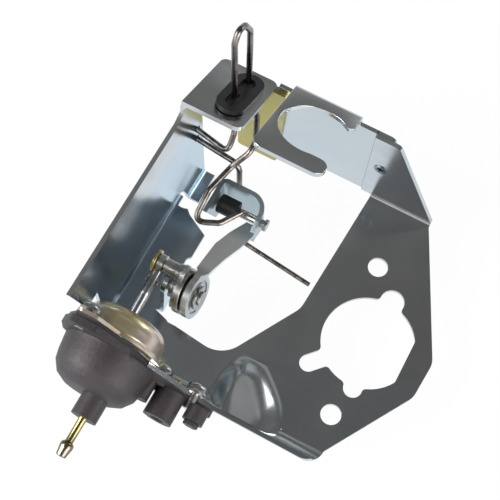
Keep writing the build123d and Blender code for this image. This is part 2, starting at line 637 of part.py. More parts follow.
with BuildPart() as screw_washers:
    for x, z, seat in screw_spots:
        with Locations(Location((x, seat, z), (-90, 0, 0))):
            Cylinder(3.0, 1.0, align=(Align.CENTER, Align.CENTER, Align.MIN))
            Cylinder(1.75, 1.0, align=(Align.CENTER, Align.CENTER, Align.MIN), mode=Mode.SUBTRACT)
            with Locations((2.4, 0, 0.5)):
                Box(2.0, 0.5, 1.4, mode=Mode.SUBTRACT)
screw_washers.part.label = "screw_washers"
export_step(screw_washers.part, "parts/screw_washers.step")

with BuildPart() as brass_rivet:
    with Locations(Location((-48.0, lip_out_y, 10.6), (-90, 0, 0))):
        Cylinder(1.3, 2.7, align=(Align.CENTER, Align.CENTER, Align.MIN))
    with Locations(Location((-48.0, lip_in_y, 10.6), (-90, 0, 0))):
        Cylinder(1.9, 0.6, align=(Align.CENTER, Align.CENTER, Align.MIN))
    with Locations(Location((-48.0, lip_in_y, 10.6), (-90, 0, 0))):
        Cylinder(0.75, 1.5, align=(Align.CENTER, Align.CENTER, Align.MIN), mode=Mode.SUBTRACT)
brass_rivet.part.label = "brass_rivet"
export_step(brass_rivet.part, "parts/brass_rivet.step")

# Pivot stud with riveted head and groove for its clip
with BuildPart() as pivot_stud:
    with Locations(Location((-67.9, pivot_y, pivot_z), (0, 90, 0))):
        Cylinder(3.1, 0.7, align=(Align.CENTER, Align.CENTER, Align.MIN))
        Cylinder(2.5, 14.2, align=(Align.CENTER, Align.CENTER, Align.MIN))
    with Locations(Location((-55.1, pivot_y, pivot_z), (0, 90, 0))):
        Cylinder(2.8, 0.7, align=(Align.CENTER, Align.CENTER, Align.MIN), mode=Mode.SUBTRACT)
        Cylinder(1.9, 0.7, align=(Align.CENTER, Align.CENTER, Align.MIN))
pivot_stud.part.label = "pivot_stud"
export_step(pivot_stud.part, "parts/pivot_stud.step")

with BuildPart() as pivot_clip:
    with BuildSketch(Plane.YZ.offset(-55.08)):
        with Locations((pivot_y, pivot_z)):
            Circle(4.2)
            Circle(1.92, mode=Mode.SUBTRACT)
            with Locations((3.0, 0)):
                Rectangle(5.0, 2.6, mode=Mode.SUBTRACT)
            with Locations((0.0, 3.6), (0.0, -3.6)):
                Rectangle(1.4, 1.6, mode=Mode.SUBTRACT)
    extrude(amount=0.6)
pivot_clip.part.label = "pivot_clip"
export_step(pivot_clip.part, "parts/pivot_clip.step")

# Hub: bush, collar, inner disc and the core that carries the lever's disc
with BuildPart() as hub_spool:
    with Locations(Location((-64.6, pivot_y, pivot_z), (0, 90, 0))):
        Cylinder(4.2, 2.2, align=(Align.CENTER, Align.CENTER, Align.MIN))
        Cylinder(3.4, 9.2, align=(Align.CENTER, Align.CENTER, Align.MIN))
    with Locations(Location((-60.9, pivot_y, pivot_z), (0, 90, 0))):
        Cylinder(disc_r, 2.7, align=(Align.CENTER, Align.CENTER, Align.MIN))
        Cylinder(5.0, 3.4, align=(Align.CENTER, Align.CENTER, Align.MIN))
    with Locations(Location((-64.8, pivot_y, pivot_z), (0, 90, 0))):
        Cylinder(2.55, 10.0, align=(Align.CENTER, Align.CENTER, Align.MIN), mode=Mode.SUBTRACT)
hub_spool.part.label = "hub_spool"
export_step(hub_spool.part, "parts/hub_spool.step")

with BuildPart() as crank_plate:
    with BuildSketch(Plane.YZ.offset(-62.4)):
        with Locations((pivot_y, pivot_z)):
            Circle(7.0)
        with Locations((crank_y, crank_z)):
            Circle(3.4)
        with Locations((pivot_y, pivot_z)):
            Circle(3.4, mode=Mode.SUBTRACT)
        with Locations((crank_y, crank_z)):
            Circle(1.5, mode=Mode.SUBTRACT)
    extrude(amount=sheet)
crank_plate.part.label = "crank_plate"
export_step(crank_plate.part, "parts/crank_plate.step")

with BuildPart() as crank_pin:
    with Locations(Location((-72.9, crank_y, crank_z), (0, 90, 0))):
        Cylinder(1.5, 12.0, align=(Align.CENTER, Align.CENTER, Align.MIN))
    with Locations(Location((-68.4, crank_y, crank_z), (0, 90, 0))):
        Cylinder(2.5, 4.4, align=(Align.CENTER, Align.CENTER, Align.MIN))
crank_pin.part.label = "crank_pin"
export_step(crank_pin.part, "parts/crank_pin.step")

with BuildPart() as crank_washer:
    with Locations(Location((-72.3, crank_y, crank_z), (0, 90, 0))):
        Cylinder(3.8, 0.9, align=(Align.CENTER, Align.CENTER, Align.MIN))
        Cylinder(1.5, 0.9, align=(Align.CENTER, Align.CENTER, Align.MIN), mode=Mode.SUBTRACT)
crank_washer.part.label = "crank_washer"
export_step(crank_washer.part, "parts/crank_washer.step")

with BuildPart() as crank_clip:
    with Locations(Location((-63.9, crank_y, crank_z), (0, 90, 0))):
        Cylinder(3.0, 1.3, align=(Align.CENTER, Align.CENTER, Align.MIN))
        Cylinder(1.5, 1.3, align=(Align.CENTER, Align.CENTER, Align.MIN), mode=Mode.SUBTRACT)
crank_clip.part.label = "crank_clip"
export_step(crank_clip.part, "parts/crank_clip.step")

# Flat spring coil in the groove between the two discs
with BuildPart() as torsion_spring:
    with BuildSketch(Plane.YZ.offset(-58.12)):
        with Locations((pivot_y, pivot_z)):
            Circle(disc_r - 0.5)
            Circle(5.1, mode=Mode.SUBTRACT)
    extrude(amount=0.55)
torsion_spring.part.label = "torsion_spring"
export_step(torsion_spring.part, "parts/torsion_spring.step")

# Throttle lever: disc, strip arm and channel of one pressing
strip_top = 23.5
channel_top = 27.5
channel_low = 5.5
cheek_out_x = -66.6
cheek_in_x = cheek_out_x + sheet
rim_in_x = -50.1
rim_out_x = rim_in_x + sheet
web_out_y = 20.2
web_in_y = web_out_y - sheet
rim_in_r = 5.0
rim_out_r = rim_in_r + sheet
rim_bend_y = web_in_y - rim_in_r
cheek_bend_y = web_in_y - bend_in
with BuildPart() as throttle_lever:
    with BuildSketch(Plane.YZ.offset(-57.5)):
        with Locations((pivot_y, pivot_z)):
            Circle(disc_r)
            Circle(3.4, mode=Mode.SUBTRACT)
    extrude(amount=2.0)
    with BuildSketch(Plane.YZ.offset(-55.5)):
        with Locations((pivot_y, pivot_z)):
            Circle(6.0)
            Circle(5.0, mode=Mode.SUBTRACT)
    extrude(amount=-0.5, mode=Mode.SUBTRACT)
    with BuildSketch(Plane.XY.offset(strip_top)) as strip_face:
        with BuildLine():
            Polyline(
                (-57.5, -17.5), (-57.5, -11.4), (-58.3, -10.8), (-58.7, -5.1), (-58.2, -0.5), (-55.9, 5.2),
                (-52.7, 11.0), (rim_out_x, 11.0), (rim_out_x, 7.4), (-50.3, 1.9), (-52.9, -4.3), (-53.9, -10.9),
                (-55.5, -12.6), (-55.5, -17.5), (-57.5, -17.5),
            )
        make_face()
    extrude(amount=-sheet)
    # Channel: far cheek, web and wide-cornered right cheek
    with BuildSketch(Plane.XY.offset(channel_low)) as channel_plan:
        with BuildLine():
            Line((cheek_out_x, 5.0), (cheek_out_x, cheek_bend_y))
            TangentArc((cheek_out_x, cheek_bend_y), (cheek_out_x + bend_out, web_out_y), tangent=(0, 1))
            Line((cheek_out_x + bend_out, web_out_y), (rim_out_x - rim_out_r, web_out_y))
            TangentArc((rim_out_x - rim_out_r, web_out_y), (rim_out_x, rim_bend_y), tangent=(1, 0))
            Polyline((rim_out_x, rim_bend_y), (rim_out_x, 8.2), (rim_in_x, 8.2), (rim_in_x, rim_bend_y))
            TangentArc((rim_in_x, rim_bend_y), (rim_in_x - rim_in_r, web_in_y), tangent=(0, 1))
            Line((rim_in_x - rim_in_r, web_in_y), (cheek_in_x + bend_in, web_in_y))
            TangentArc((cheek_in_x + bend_in, web_in_y), (cheek_in_x, cheek_bend_y), tangent=(-1, 0))
            Polyline((cheek_in_x, cheek_bend_y), (cheek_in_x, 5.0), (cheek_out_x, 5.0))
        make_face()
    extrude(amount=channel_top - channel_low)
    # Slanted lower and front edges of the two cheeks
    with BuildSketch(Plane.YZ.offset(-70.0)):
        with BuildLine():
            Polyline(
                (4.0, 5.0), (4.0, 27.6), (6.1, 27.6), (12.0, 10.9), (14.6, 9.5), (21.0, 9.5), (21.0, 5.0),
                (4.0, 5.0),
            )
        make_face()
    extrude(amount=12.0, mode=Mode.SUBTRACT)
    with BuildSketch(Plane.YZ.offset(-58.0)):
        with BuildLine():
            Polyline((7.0, 5.0), (7.0, 16.8), (10.1, 16.8), (13.8, 14.7), (18.0, 8.5), (19.4, 5.0), (7.0, 5.0))
        make_face()
        with BuildLine():
            Polyline((7.0, 27.6), (7.0, 24.0), (8.4, 24.4), (11.4, 27.6), (7.0, 27.6))
        make_face()
    extrude(amount=12.0, mode=Mode.SUBTRACT)
    # Holes of the cross pin
    with Locations(Location((-68.0, pin_y, pin_z), (0, 90, 0))):
        Cylinder(1.45, 22.0, align=(Align.CENTER, Align.CENTER, Align.MIN), mode=Mode.SUBTRACT)
throttle_lever.part.label = "throttle_lever"
export_step(throttle_lever.part, "parts/throttle_lever.step")

with BuildPart() as lever_pin:
    with Locations(Location((-67.2, pin_y, pin_z), (0, 90, 0))):
        Cylinder(1.45, 20.2, align=(Align.CENTER, Align.CENTER, Align.MIN))
    with Locations(Location((-47.6, pin_y, pin_z), (0, 90, 0))):
        Cylinder(2.1, 1.2, align=(Align.CENTER, Align.CENTER, Align.MIN))
lever_pin.part.label = "lever_pin"
export_step(lever_pin.part, "parts/lever_pin.step")

with BuildPart() as rubber_bush:
    with Locations(Location((-64.4, pin_y, pin_z), (0, 90, 0))):
        Cylinder(3.3, 7.0, align=(Align.CENTER, Align.CENTER, Align.MIN))
        Cylinder(1.45, 7.0, align=(Align.CENTER, Align.CENTER, Align.MIN), mode=Mode.SUBTRACT)
rubber_bush.part.label = "rubber_bush"
export_step(rubber_bush.part, "parts/rubber_bush.step")

link_r = 0.75
with BuildPart() as link_rod:
    with BuildLine() as link_path:
        FilletPolyline(
            (-55.4, -1.5, strip_top - sheet - link_r), (-55.2, 5.4, strip_top - sheet - link_r),
            (-25.0, 2.2, strip_top - sheet - link_r), radius=1.6,
        )
    with BuildSketch(Plane(origin=link_path.line @ 0, z_dir=link_path.line % 0)):
        RegularPolygon(link_r, 8)
    sweep()
link_rod.part.label = "link_rod"
export_step(link_rod.part, "parts/link_rod.step")
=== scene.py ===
"""Throttle control bracket: stage, camera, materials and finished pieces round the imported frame."""

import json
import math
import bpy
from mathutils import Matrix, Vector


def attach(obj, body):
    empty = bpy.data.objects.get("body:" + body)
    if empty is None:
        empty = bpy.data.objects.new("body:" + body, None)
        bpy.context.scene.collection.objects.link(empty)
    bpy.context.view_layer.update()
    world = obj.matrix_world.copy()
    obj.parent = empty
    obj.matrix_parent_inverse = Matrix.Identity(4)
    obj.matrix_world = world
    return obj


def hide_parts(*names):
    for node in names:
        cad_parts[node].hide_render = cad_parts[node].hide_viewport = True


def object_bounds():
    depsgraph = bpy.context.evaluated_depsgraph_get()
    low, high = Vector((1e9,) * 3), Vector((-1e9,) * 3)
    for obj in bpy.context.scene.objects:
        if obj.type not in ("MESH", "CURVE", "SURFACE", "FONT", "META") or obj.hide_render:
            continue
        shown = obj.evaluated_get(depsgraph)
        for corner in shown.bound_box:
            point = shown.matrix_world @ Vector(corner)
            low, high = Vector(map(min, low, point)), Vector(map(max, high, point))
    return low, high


bl_info = {
    "name": "Throttle control bracket",
    "version": (1, 0, 0),
    "blender": (4, 5, 0),
    "location": "View3D > Sidebar > Bracket",
    "description": "Dresses the bracket, its vacuum actuator and its lever, and sets the studio",
    "category": "Object",
}

import bmesh
import bpy
from mathutils import Matrix, Vector

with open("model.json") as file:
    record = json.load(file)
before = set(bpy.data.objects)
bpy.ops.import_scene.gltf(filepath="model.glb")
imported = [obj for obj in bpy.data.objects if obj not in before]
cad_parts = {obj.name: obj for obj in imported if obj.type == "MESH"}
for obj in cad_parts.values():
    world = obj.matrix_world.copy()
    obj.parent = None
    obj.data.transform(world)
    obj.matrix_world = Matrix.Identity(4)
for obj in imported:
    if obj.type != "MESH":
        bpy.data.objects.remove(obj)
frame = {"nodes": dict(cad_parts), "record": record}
cad_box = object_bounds()

MM = 0.001

# Places on the object in mm: an axis along Y is (x, z), a screw is (x, z, seat), the pivot is (y, z)

ACTUATOR = (-70.0, 19.0)
NIPPLE = (-66.9, 19.0)
CLINCH = (-22.3, 23.9)
PIVOT = (-17.5, 16.5)
SCREW_SPOTS = ((-54.0, 11.0, -44.8), (-41.5, 9.4, -44.8), (-78.6, 36.0, -43.6))
GROMMET_CENTRE = (-70.6, 38.35)

# Corners of the wires' paths in mm

BAIL_PATH = (
    (-84.6, 31.5, 27.5), (-68.4, 26.6, 32.0), (-69.4, 33.0, 34.0), (-71.5, 37.5, 40.0),
    (-71.5, 36.6, 60.0), (-71.5, 36.2, 82.6), (-71.5, 38.6, 86.4), (-71.5, 42.6, 83.6),
    (-71.5, 46.0, 76.4), (-71.5, 46.3, 68.0), (-71.5, 46.6, 39.0),
    (-64.4, 39.1, 38.8), (-60.8, 31.6, 38.6), (-60.8, 27.5, 37.6), (-64.7, 22.8, 32.2),
    (-67.5, 12.2, 30.8), (-67.5, 1.6, 26.6), (-59.6, 5.3, 26.5), (-55.3, 12.2, 26.5),
)
ANCHOR_PATH = ((-84.6, 30.6, 22.0), (-66.3, 27.3, 25.6), (-63.8, 26.4, 24.0), (-63.2, 25.6, 8.0))
LINK_PATH = ((-55.4, -1.5, 21.25), (-55.2, 5.4, 21.25), (-25.0, 2.2, 21.25))

# Radii of the wires' corners and of the link rod, in metres

BAIL_CORNER = 0.004
ANCHOR_CORNER = 0.003
LINK_CORNER = 0.0016
LINK_RADIUS = 0.00075

# Ranges of the frame in metres over which a finish changes

GUSSET_Y = (0.0475, 0.0490)
WALL_SIDE_X = (-0.080, -0.030)
TAB_FOOT_Z = (0.034, 0.040)
# Where the painted contact shadow beside the gusset's edge lies
JOINT_SHADOW_LEFT_X = (-0.02750, -0.02715)
JOINT_SHADOW_RIGHT_X = (-0.02680, -0.02650)
JOINT_SHADOW_TOP_Z = (0.0425, 0.0440)
CHANNEL_Y = (0.003, 0.008)
CHANNEL_CHEEK_X = (-0.0445, -0.0415)
LEVER_DISC_Y = (-0.0115, -0.0085)
BARB_Y = (-0.0805, -0.0785)

# Tints of the finishes

SHEEN_TINT = (0.84, 0.97, 1.03)
WALL_TINT = (0.80, 0.95, 1.08)
# Painted shade on the inner face of the lever's channel
CHANNEL_SHADE_TINT = (0.42, 0.52, 0.55)
DISC_TINT = (0.60, 0.60, 0.59)
CHROMATE_GREEN = (0.62, 0.66, 0.46)
OLIVE = (0.44, 0.36, 0.10)
OLIVE_TINT = (0.40, 0.36, 0.14)
# Darker steel of the clinch rivet: partly its own dark metal, partly painted shade of its hollow
CLINCH_STEEL_AND_SHADE = (0.22, 0.24, 0.28)
SHEET_ROUGHNESS = 0.15
SHEET_GRAIN = 0.02

# Camera of the photograph, fitted to the plate's outline, its holes and its upright edges

PHOTO_FOCAL_PX = 1082.8
PHOTO_WIDTH_PX = 500.0
SENSOR_WIDTH = 36.0
NEAR_CLIP = 0.01
CAMERA_PLACE = (0.0058257, -0.1105205, 0.3529283)
CAMERA_TURN = ((0.88086, 0.47291, 0.02106), (-0.44888, 0.82031, 0.35439), (0.15032, -0.32163, 0.93486))

# Lamps as name, place, size in metres and power in watts

LAMPS = (
    ("key", (-0.55, -0.35, 0.42), 0.55, 9.0),
    ("fill", (0.60, -0.30, 0.34), 0.60, 6.0),
    ("rim", (0.30, 0.62, 0.15), 0.22, 0.8),
)
LAMP_AIM = (-0.03, 0.0, 0.01)

# Studio sky: strengths, and ranges of the direction's components over which each light fades

SKY_LIGHT = 0.125
SKY_RIM_LIGHT = 0.035
SKY_RIM_UP = (0.10, 0.85)
WINDOW_LIGHT = 0.055
WINDOW_LEFT = (0.00, 0.24)
WINDOW_UP = (0.84, 0.93)
SKYLIGHT_LIGHT = 0.26
SKYLIGHT_BACK = (0.46, 0.54)
SKYLIGHT_FAR = (0.64, 0.76)
SKYLIGHT_UP = (0.60, 0.74)
FRONT_LIGHT = 0.85
FRONT_NEAR = (0.20, 0.80)
FRONT_UP = (0.30, 0.60)
GROUND_LIGHT = 0.80
GROUND_UP = (-0.05, 0.02)
HORIZON_UP = (0.01, 0.07)
SKY_TINT = (1.0, 0.99, 0.975)

# Floor

FLOOR_HALF = 3.0
FLOOR_GREY = (0.90, 0.90, 0.90)
FLOOR_WHITE = (1.0, 1.0, 1.0)
FLOOR_MIRRORED = (0.88, 0.95, 1.0)
FLOOR_GLOW = 0.96


# Shader maths

class Sock:
    """A node socket that takes part in Python expressions."""

    def __init__(self, tree, out):
        self.tree = tree
        self.out = out

    def _math(self, operation, a, b=None):
        node = self.tree.nodes.new("ShaderNodeMath")
        node.operation = operation
        for slot, value in zip(node.inputs, (a, b)):
            if isinstance(value, Sock):
                self.tree.links.new(value.out, slot)
            elif value is not None:
                slot.default_value = value
        return Sock(self.tree, node.outputs[0])

    def __add__(self, other):
        return self._math("ADD", self, other)

    def __radd__(self, other):
        return self._math("ADD", other, self)

    def __rsub__(self, other):
        return self._math("SUBTRACT", other, self)

    def __mul__(self, other):
        return self._math("MULTIPLY", self, other)

    def high(self, other):
        return self._math("MAXIMUM", self, other)

    def band(self, low, high):
        """0 below low, 1 above high, smooth between."""
        node = self.tree.nodes.new("ShaderNodeMapRange")
        node.interpolation_type = "SMOOTHSTEP"
        node.inputs["From Min"].default_value = low
        node.inputs["From Max"].default_value = high
        self.tree.links.new(self.out, node.inputs["Value"])
        return Sock(self.tree, node.outputs[0])


class Shader:
    """A material or world tree under construction."""

    def __init__(self, owner):
        owner.use_nodes = True
        self.tree = owner.node_tree
        self.tree.nodes.clear()

    def make(self, kind, settings=None, output=0, **values):
        """Adds a node and gives one of its outputs; settings are its properties, values its inputs."""
        node = self.tree.nodes.new(kind)
        for key, value in (settings or {}).items():
            setattr(node, key, value)
        for key, value in values.items():
            slot = self._slot(node, key)
            if isinstance(value, Sock):
                self.tree.links.new(value.out, slot)
            elif isinstance(value, (tuple, list)) and slot.type == "RGBA":
                slot.default_value = (*value[:3], 1.0)
            else:
                slot.default_value = value
        return Sock(self.tree, node.outputs[output])

    @staticmethod
    def _slot(node, key):
        """An input by its name, or by its number, as in6, where names repeat."""
        if key.startswith("in"):
            return node.inputs[int(key[2:])]
        return node.inputs[key.replace("_", " ")]

    def coords(self, stretch=(1, 1, 1)):
        """The object's own coordinates, stretched or not."""
        plain = self.make("ShaderNodeTexCoord", output="Object")
        if stretch == (1, 1, 1):
            return plain
        return self.make("ShaderNodeMapping", Vector=plain, Scale=stretch)

    def along(self, axis, vector=None):
        """One component of the object's own coordinates, or of another vector."""
        return self.make("ShaderNodeSeparateXYZ", Vector=vector or self.coords(), output=axis)

    def ray(self, kind):
        return self.make("ShaderNodeLightPath", output=f"Is {kind} Ray")

    def seen(self):
        """1 for rays that come from the camera, straight, mirrored or through glass."""
        return self.ray("Camera").high(self.ray("Glossy")).high(self.ray("Transmission"))

    def noise(self, scale, detail=2.0, stretch=(1, 1, 1), rough=0.5):
        coords = self.coords(stretch)
        return self.make("ShaderNodeTexNoise", Vector=coords, Scale=scale, Detail=detail, Roughness=rough)

    def mix(self, factor, a, b, blend="MIX"):
        settings = {"data_type": "RGBA", "blend_type": blend}
        return self.make("ShaderNodeMix", settings, output=2, in0=factor, in6=a, in7=b)

    def bump(self, height, strength, distance, under=None):
        extra = {"Normal": under} if under else {}
        return self.make("ShaderNodeBump", Height=height, Strength=strength, Distance=distance, **extra)

    def finish(self, **values):
        surface = self.make("ShaderNodeBsdfPrincipled", **values)
        self.make_output(surface)

    def make_output(self, surface):
        out = self.tree.nodes.new("ShaderNodeOutputMaterial")
        self.tree.links.new(surface.out, out.inputs["Surface"])


def new_material(name, recipe, *args, **options):
    material = bpy.data.materials.new(name)
    recipe(Shader(material), *args, **options)
    return material


def shade(colour, factor):
    """A colour made darker or lighter, with no channel above 1."""
    return tuple(min(1.0, c * factor) for c in colour)


def tinted(colour, tint):
    return tuple(c * t for c, t in zip(colour, tint))


# Finishes

def zinc_sheet(sh, base, roughness, grain, drift=0.0, joint=0.0):
    """Bright zinc plating on cold-rolled sheet: soft waves, clouds, fine satin grain, faint scratches.

    drift turns the plating blue towards the tall wall and mottles the upright gusset.
    The last amount paints a contact shadow into the narrow strip beside the gusset's edge, where the two
    sheets meet.
    """
    clouds = sh.noise(scale=26.0, detail=3.0).band(0.30, 0.72)
    speckle = sh.noise(scale=1700.0, detail=3.0, rough=0.7)
    stain = sh.noise(scale=85.0, detail=4.0).band(0.62, 0.76)
    scratch = sh.noise(scale=160.0, stretch=(1.0, 14.0, 3.0)).band(0.62, 0.66)
    sheen = sh.noise(scale=14.0).band(0.35, 0.70)
    mottle = sh.noise(scale=120.0, detail=5.0, rough=0.65).band(0.40, 0.66)
    colour = sh.mix(sheen * 0.55, base, tinted(base, SHEEN_TINT))
    colour = sh.mix(clouds * 0.35, colour, shade(base, 0.86))
    colour = sh.mix(stain * 0.22, colour, shade(base, 0.66))
    colour = sh.mix(speckle.band(0.55, 0.72) * 0.12, colour, shade(base, 1.25))
    gusset = sh.along("Y").band(*GUSSET_Y)
    colour = sh.mix(gusset * mottle * drift, colour, shade(base, 0.90))
    near_wall = 1.0 - sh.along("X").band(*WALL_SIDE_X)
    below_tab = 1.0 - sh.along("Z").band(*TAB_FOOT_Z)
    colour = sh.mix(near_wall * below_tab * drift * 0.75, colour, WALL_TINT, "MULTIPLY")
    # Painted contact shadow: a dark line on the cable bracket beside the gusset's edge
    shadow_strip = sh.along("X").band(*JOINT_SHADOW_LEFT_X) * (1.0 - sh.along("X").band(*JOINT_SHADOW_RIGHT_X))
    below_top = 1.0 - sh.along("Z").band(*JOINT_SHADOW_TOP_Z)
    colour = sh.mix(shadow_strip * below_top * joint, colour, shade(base, 0.25))
    rough = roughness + clouds * 0.05 + speckle * 0.03 + scratch * 0.02
    waves = sh.bump(sh.noise(scale=34.0, detail=1.0), strength=1.0, distance=0.0011)
    normal = sh.bump(speckle, strength=grain, distance=0.00004, under=waves)
    sh.finish(Base_Color=colour, Metallic=1.0, Roughness=rough, Normal=normal)


def zinc_lever(sh, base):
    """Matter, paler zinc of the stamped lever, with a fine stony grain and painted shade on the inner face of
    its channel.
    """
    speckle = sh.noise(scale=1500.0, detail=3.0, rough=0.7)
    clouds = sh.noise(scale=60.0, detail=3.0).band(0.30, 0.72)
    colour = sh.mix(clouds * 0.5, base, shade(base, 0.86))
    colour = sh.mix(speckle.band(0.56, 0.72) * 0.3, colour, shade(base, 0.60))
    # Painted shade: the inner face of the lever's channel darkened and tinted teal
    channel_shade = sh.along("Y").band(*CHANNEL_Y) * (1.0 - sh.along("X").band(*CHANNEL_CHEEK_X))
    colour = sh.mix(channel_shade * 0.85, colour, CHANNEL_SHADE_TINT, "MULTIPLY")
    disc = 1.0 - sh.along("Y").band(*LEVER_DISC_Y)
    colour = sh.mix(disc * 0.9, colour, DISC_TINT, "MULTIPLY")
    grain = sh.bump(speckle, strength=0.10, distance=0.00004)
    sh.finish(Base_Color=colour, Metallic=0.92, Roughness=0.24 + speckle * 0.12, Normal=grain)


def chromate_steel(sh, base, tint):
    """Yellow chromate with pink and greenish drifts."""
    drift = sh.noise(scale=55.0, detail=3.0)
    patch = sh.noise(scale=140.0)
    colour = sh.mix(drift.band(0.38, 0.62), base, tint)
    colour = sh.mix(patch.band(0.50, 0.72) * 0.5, colour, CHROMATE_GREEN)
    grain = sh.bump(sh.noise(scale=1400.0, detail=3.0), strength=0.08, distance=0.00005)
    sh.finish(Base_Color=colour, Metallic=0.9, Roughness=0.24 + patch * 0.12, Normal=grain)


def cast_zinc(sh, base):
    """Die-cast alloy with a fine pebbled skin and lighter rubbed patches."""
    pebble = sh.noise(scale=620.0, detail=4.0, rough=0.66)
    wide = sh.noise(scale=70.0, detail=3.0)
    colour = sh.mix(wide.band(0.35, 0.70), base, shade(base, 1.35))
    colour = sh.mix(pebble.band(0.60, 0.76) * 0.35, colour, shade(base, 1.9))
    skin = sh.bump(pebble, strength=0.55, distance=0.00022)
    sh.finish(Base_Color=colour, Metallic=0.25, Roughness=0.42 + pebble * 0.22, Normal=skin)


def aged_brass(sh, base, tip):
    """Brass that has gone olive, with a darker, greyer barb at the tip."""
    barb = 1.0 - sh.along("Y").band(*BARB_Y)
    fine = sh.noise(scale=700.0, detail=3.0)
    colour = sh.mix(sh.noise(scale=190.0, detail=3.0).band(0.35, 0.68), shade(base, 0.72), base)
    colour = sh.mix(barb * 0.85, colour, tip)
    grain = sh.bump(fine, strength=0.04, distance=0.00003)
    sh.finish(Base_Color=colour, Metallic=1.0, Roughness=0.20 + fine * 0.08, Normal=grain)


def drawn_wire(sh, base):
    """Drawn wire with dark heat colour and faint lengthwise streaks."""
    streak = sh.noise(scale=420.0, detail=3.0, stretch=(1.0, 1.0, 0.25))
    colour = sh.mix(streak.band(0.35, 0.70), shade(base, 0.6), shade(base, 1.5))
    grain = sh.bump(streak, strength=0.12, distance=0.00004)
    sh.finish(Base_Color=colour, Metallic=1.0, Roughness=0.20 + streak * 0.18, Normal=grain)


def turned_steel(sh, base):
    """Turned or pressed small metal parts with a soft plating."""
    wide = sh.noise(scale=160.0, detail=3.0)
    colour = sh.mix(wide.band(0.35, 0.68), shade(base, 0.72), base)
    grain = sh.bump(sh.noise(scale=1100.0, detail=3.0), strength=0.12, distance=0.00004)
    sh.finish(Base_Color=colour, Metallic=1.0, Roughness=0.20 + wide * 0.16, Normal=grain)


def moulded_rubber(sh, base):
    """Black rubber with a fine matt skin and a little dust."""
    dust = sh.noise(scale=240.0, detail=4.0).band(0.56, 0.80)
    colour = sh.mix(dust * 0.35, base, shade(base, 3.0))
    grain = sh.bump(sh.noise(scale=1600.0, detail=3.0), strength=0.20, distance=0.00005)
    sh.finish(Base_Color=colour, Roughness=0.42 + dust * 0.20, Normal=grain, Specular_IOR_Level=0.30)


# Geometry: lengths in metres, angles in degrees

MERGE_DISTANCE = 2e-6
FLAT_ANGLE = 0.4
EDGE_ANGLE = 34.0
CORNER_SHARE = 0.48
CORNER_STEPS = 8
WIRE_SIDES = 20

# Width of each piece's broken edge, in metres; a piece that isn't named here has none of its own

EDGES = {
    "diaphragm_cap": 0.0005, "port_plug": 0.0003, "pull_rod": 0.0002, "rod_pin": 0.0002,
    "brass_rivet": 0.0001, "screw_washers": 0.0001, "diaphragm": 0.0001, "diaphragm_plate": 0.0001,
    "throttle_lever": 0.00016, "crank_plate": 0.00014, "hub_spool": 0.00015, "pivot_stud": 0.00012,
    "pivot_clip": 0.00008, "crank_pin": 0.00015, "crank_washer": 0.00012, "crank_clip": 0.00015,
    "lever_pin": 0.00015, "rubber_bush": 0.0004, "grommet": 0.0006,
}


def body_of(node):
    for body, members in frame["record"]["behaviour"]["bodies"].items():
        if node in members:
            return body
    raise RuntimeError(f"no body holds {node}")


def slot_of(node):
    for row in frame["record"]["subparts"]:
        if row["node"] == node:
            return row["material_slot"]
    raise RuntimeError(f"no slot for {node}")


def stand_in(node, ending, mesh, material):
    """Puts a finished mesh in a CAD node's place, on the same body, and hides the node."""
    piece = bpy.data.objects.new(f"{node}_{ending}", mesh)
    bpy.context.scene.collection.objects.link(piece)
    mesh.materials.clear()
    mesh.materials.append(material)
    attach(piece, body_of(node))
    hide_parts(node)
    return piece


def smooth(mesh, degrees):
    """Smooth shading, with sharp edges where two faces turn by more than the angle."""
    mesh.polygons.foreach_set("use_smooth", [True] * len(mesh.polygons))
    mesh.set_sharp_from_angle(angle=math.radians(degrees))


def held(mesh):
    """A passing object for a modifier to work on."""
    holder = bpy.data.objects.new("holder", mesh)
    bpy.context.scene.collection.objects.link(holder)
    return holder


def applied(holder):
    """Plain mesh of a passing object with its modifiers carried out; the object goes."""
    graph = bpy.context.evaluated_depsgraph_get()
    mesh = bpy.data.meshes.new_from_object(holder.evaluated_get(graph))
    bpy.data.objects.remove(holder)
    return mesh


def mesh_from(work, name):
    mesh = bpy.data.meshes.new(name)
    work.to_mesh(mesh)
    work.free()
    return mesh


def in_mm(place):
    return tuple(v / MM for v in place)


def stretch(mesh, axis, centre, factor):
    """Scales a mesh along one axis about a place in mm."""
    for vertex in mesh.vertices:
        vertex.co[axis] = (centre + (vertex.co[axis] / MM - centre) * factor) * MM


def dressed_copy(node, bevel, segments):
    """A merged copy of a CAD node's mesh with its edges broken."""
    mesh = frame["nodes"][node].data.copy()
    work = bmesh.new()
    work.from_mesh(mesh)
    bmesh.ops.remove_doubles(work, verts=work.verts, dist=MERGE_DISTANCE)
    bmesh.ops.dissolve_limit(
        work, angle_limit=math.radians(FLAT_ANGLE), verts=work.verts, edges=work.edges)
    work.to_mesh(mesh)
    work.free()
    smooth(mesh, EDGE_ANGLE)
    if not bevel:
        return mesh
    holder = held(mesh)
    step = holder.modifiers.new("edge", "BEVEL")
    step.width = bevel
    step.segments = segments
    step.limit_method = "ANGLE"
    step.angle_limit = math.radians(EDGE_ANGLE)
    step.harden_normals = True
    return applied(holder)


def dress(node, material, bevel=None, segments=2):
    """Finishes a CAD node as it is, with broken edges."""
    width = EDGES.get(node, 0.0) if bevel is None else bevel
    return stand_in(node, "finished", dressed_copy(node, width, segments), material)


def rounded_route(points, radius, steps=CORNER_STEPS):
    """Straight runs with tangent arcs at the corners, in metres."""
    points = [Vector(p) * MM for p in points]
    route = [points[0]]
    for a, b, c in zip(points, points[1:], points[2:]):
        into, out = (b - a).normalized(), (c - b).normalized()
        turn = into.angle(out)
        cut = min(radius * math.tan(turn / 2), (b - a).length * CORNER_SHARE, (c - b).length * CORNER_SHARE)
        start, end = b - into * cut, b + out * cut
        for i in range(steps + 1):
            t = i / steps
            route.append(start.lerp(b, t).lerp(b.lerp(end, t), t))
    route.append(points[-1])
    return route


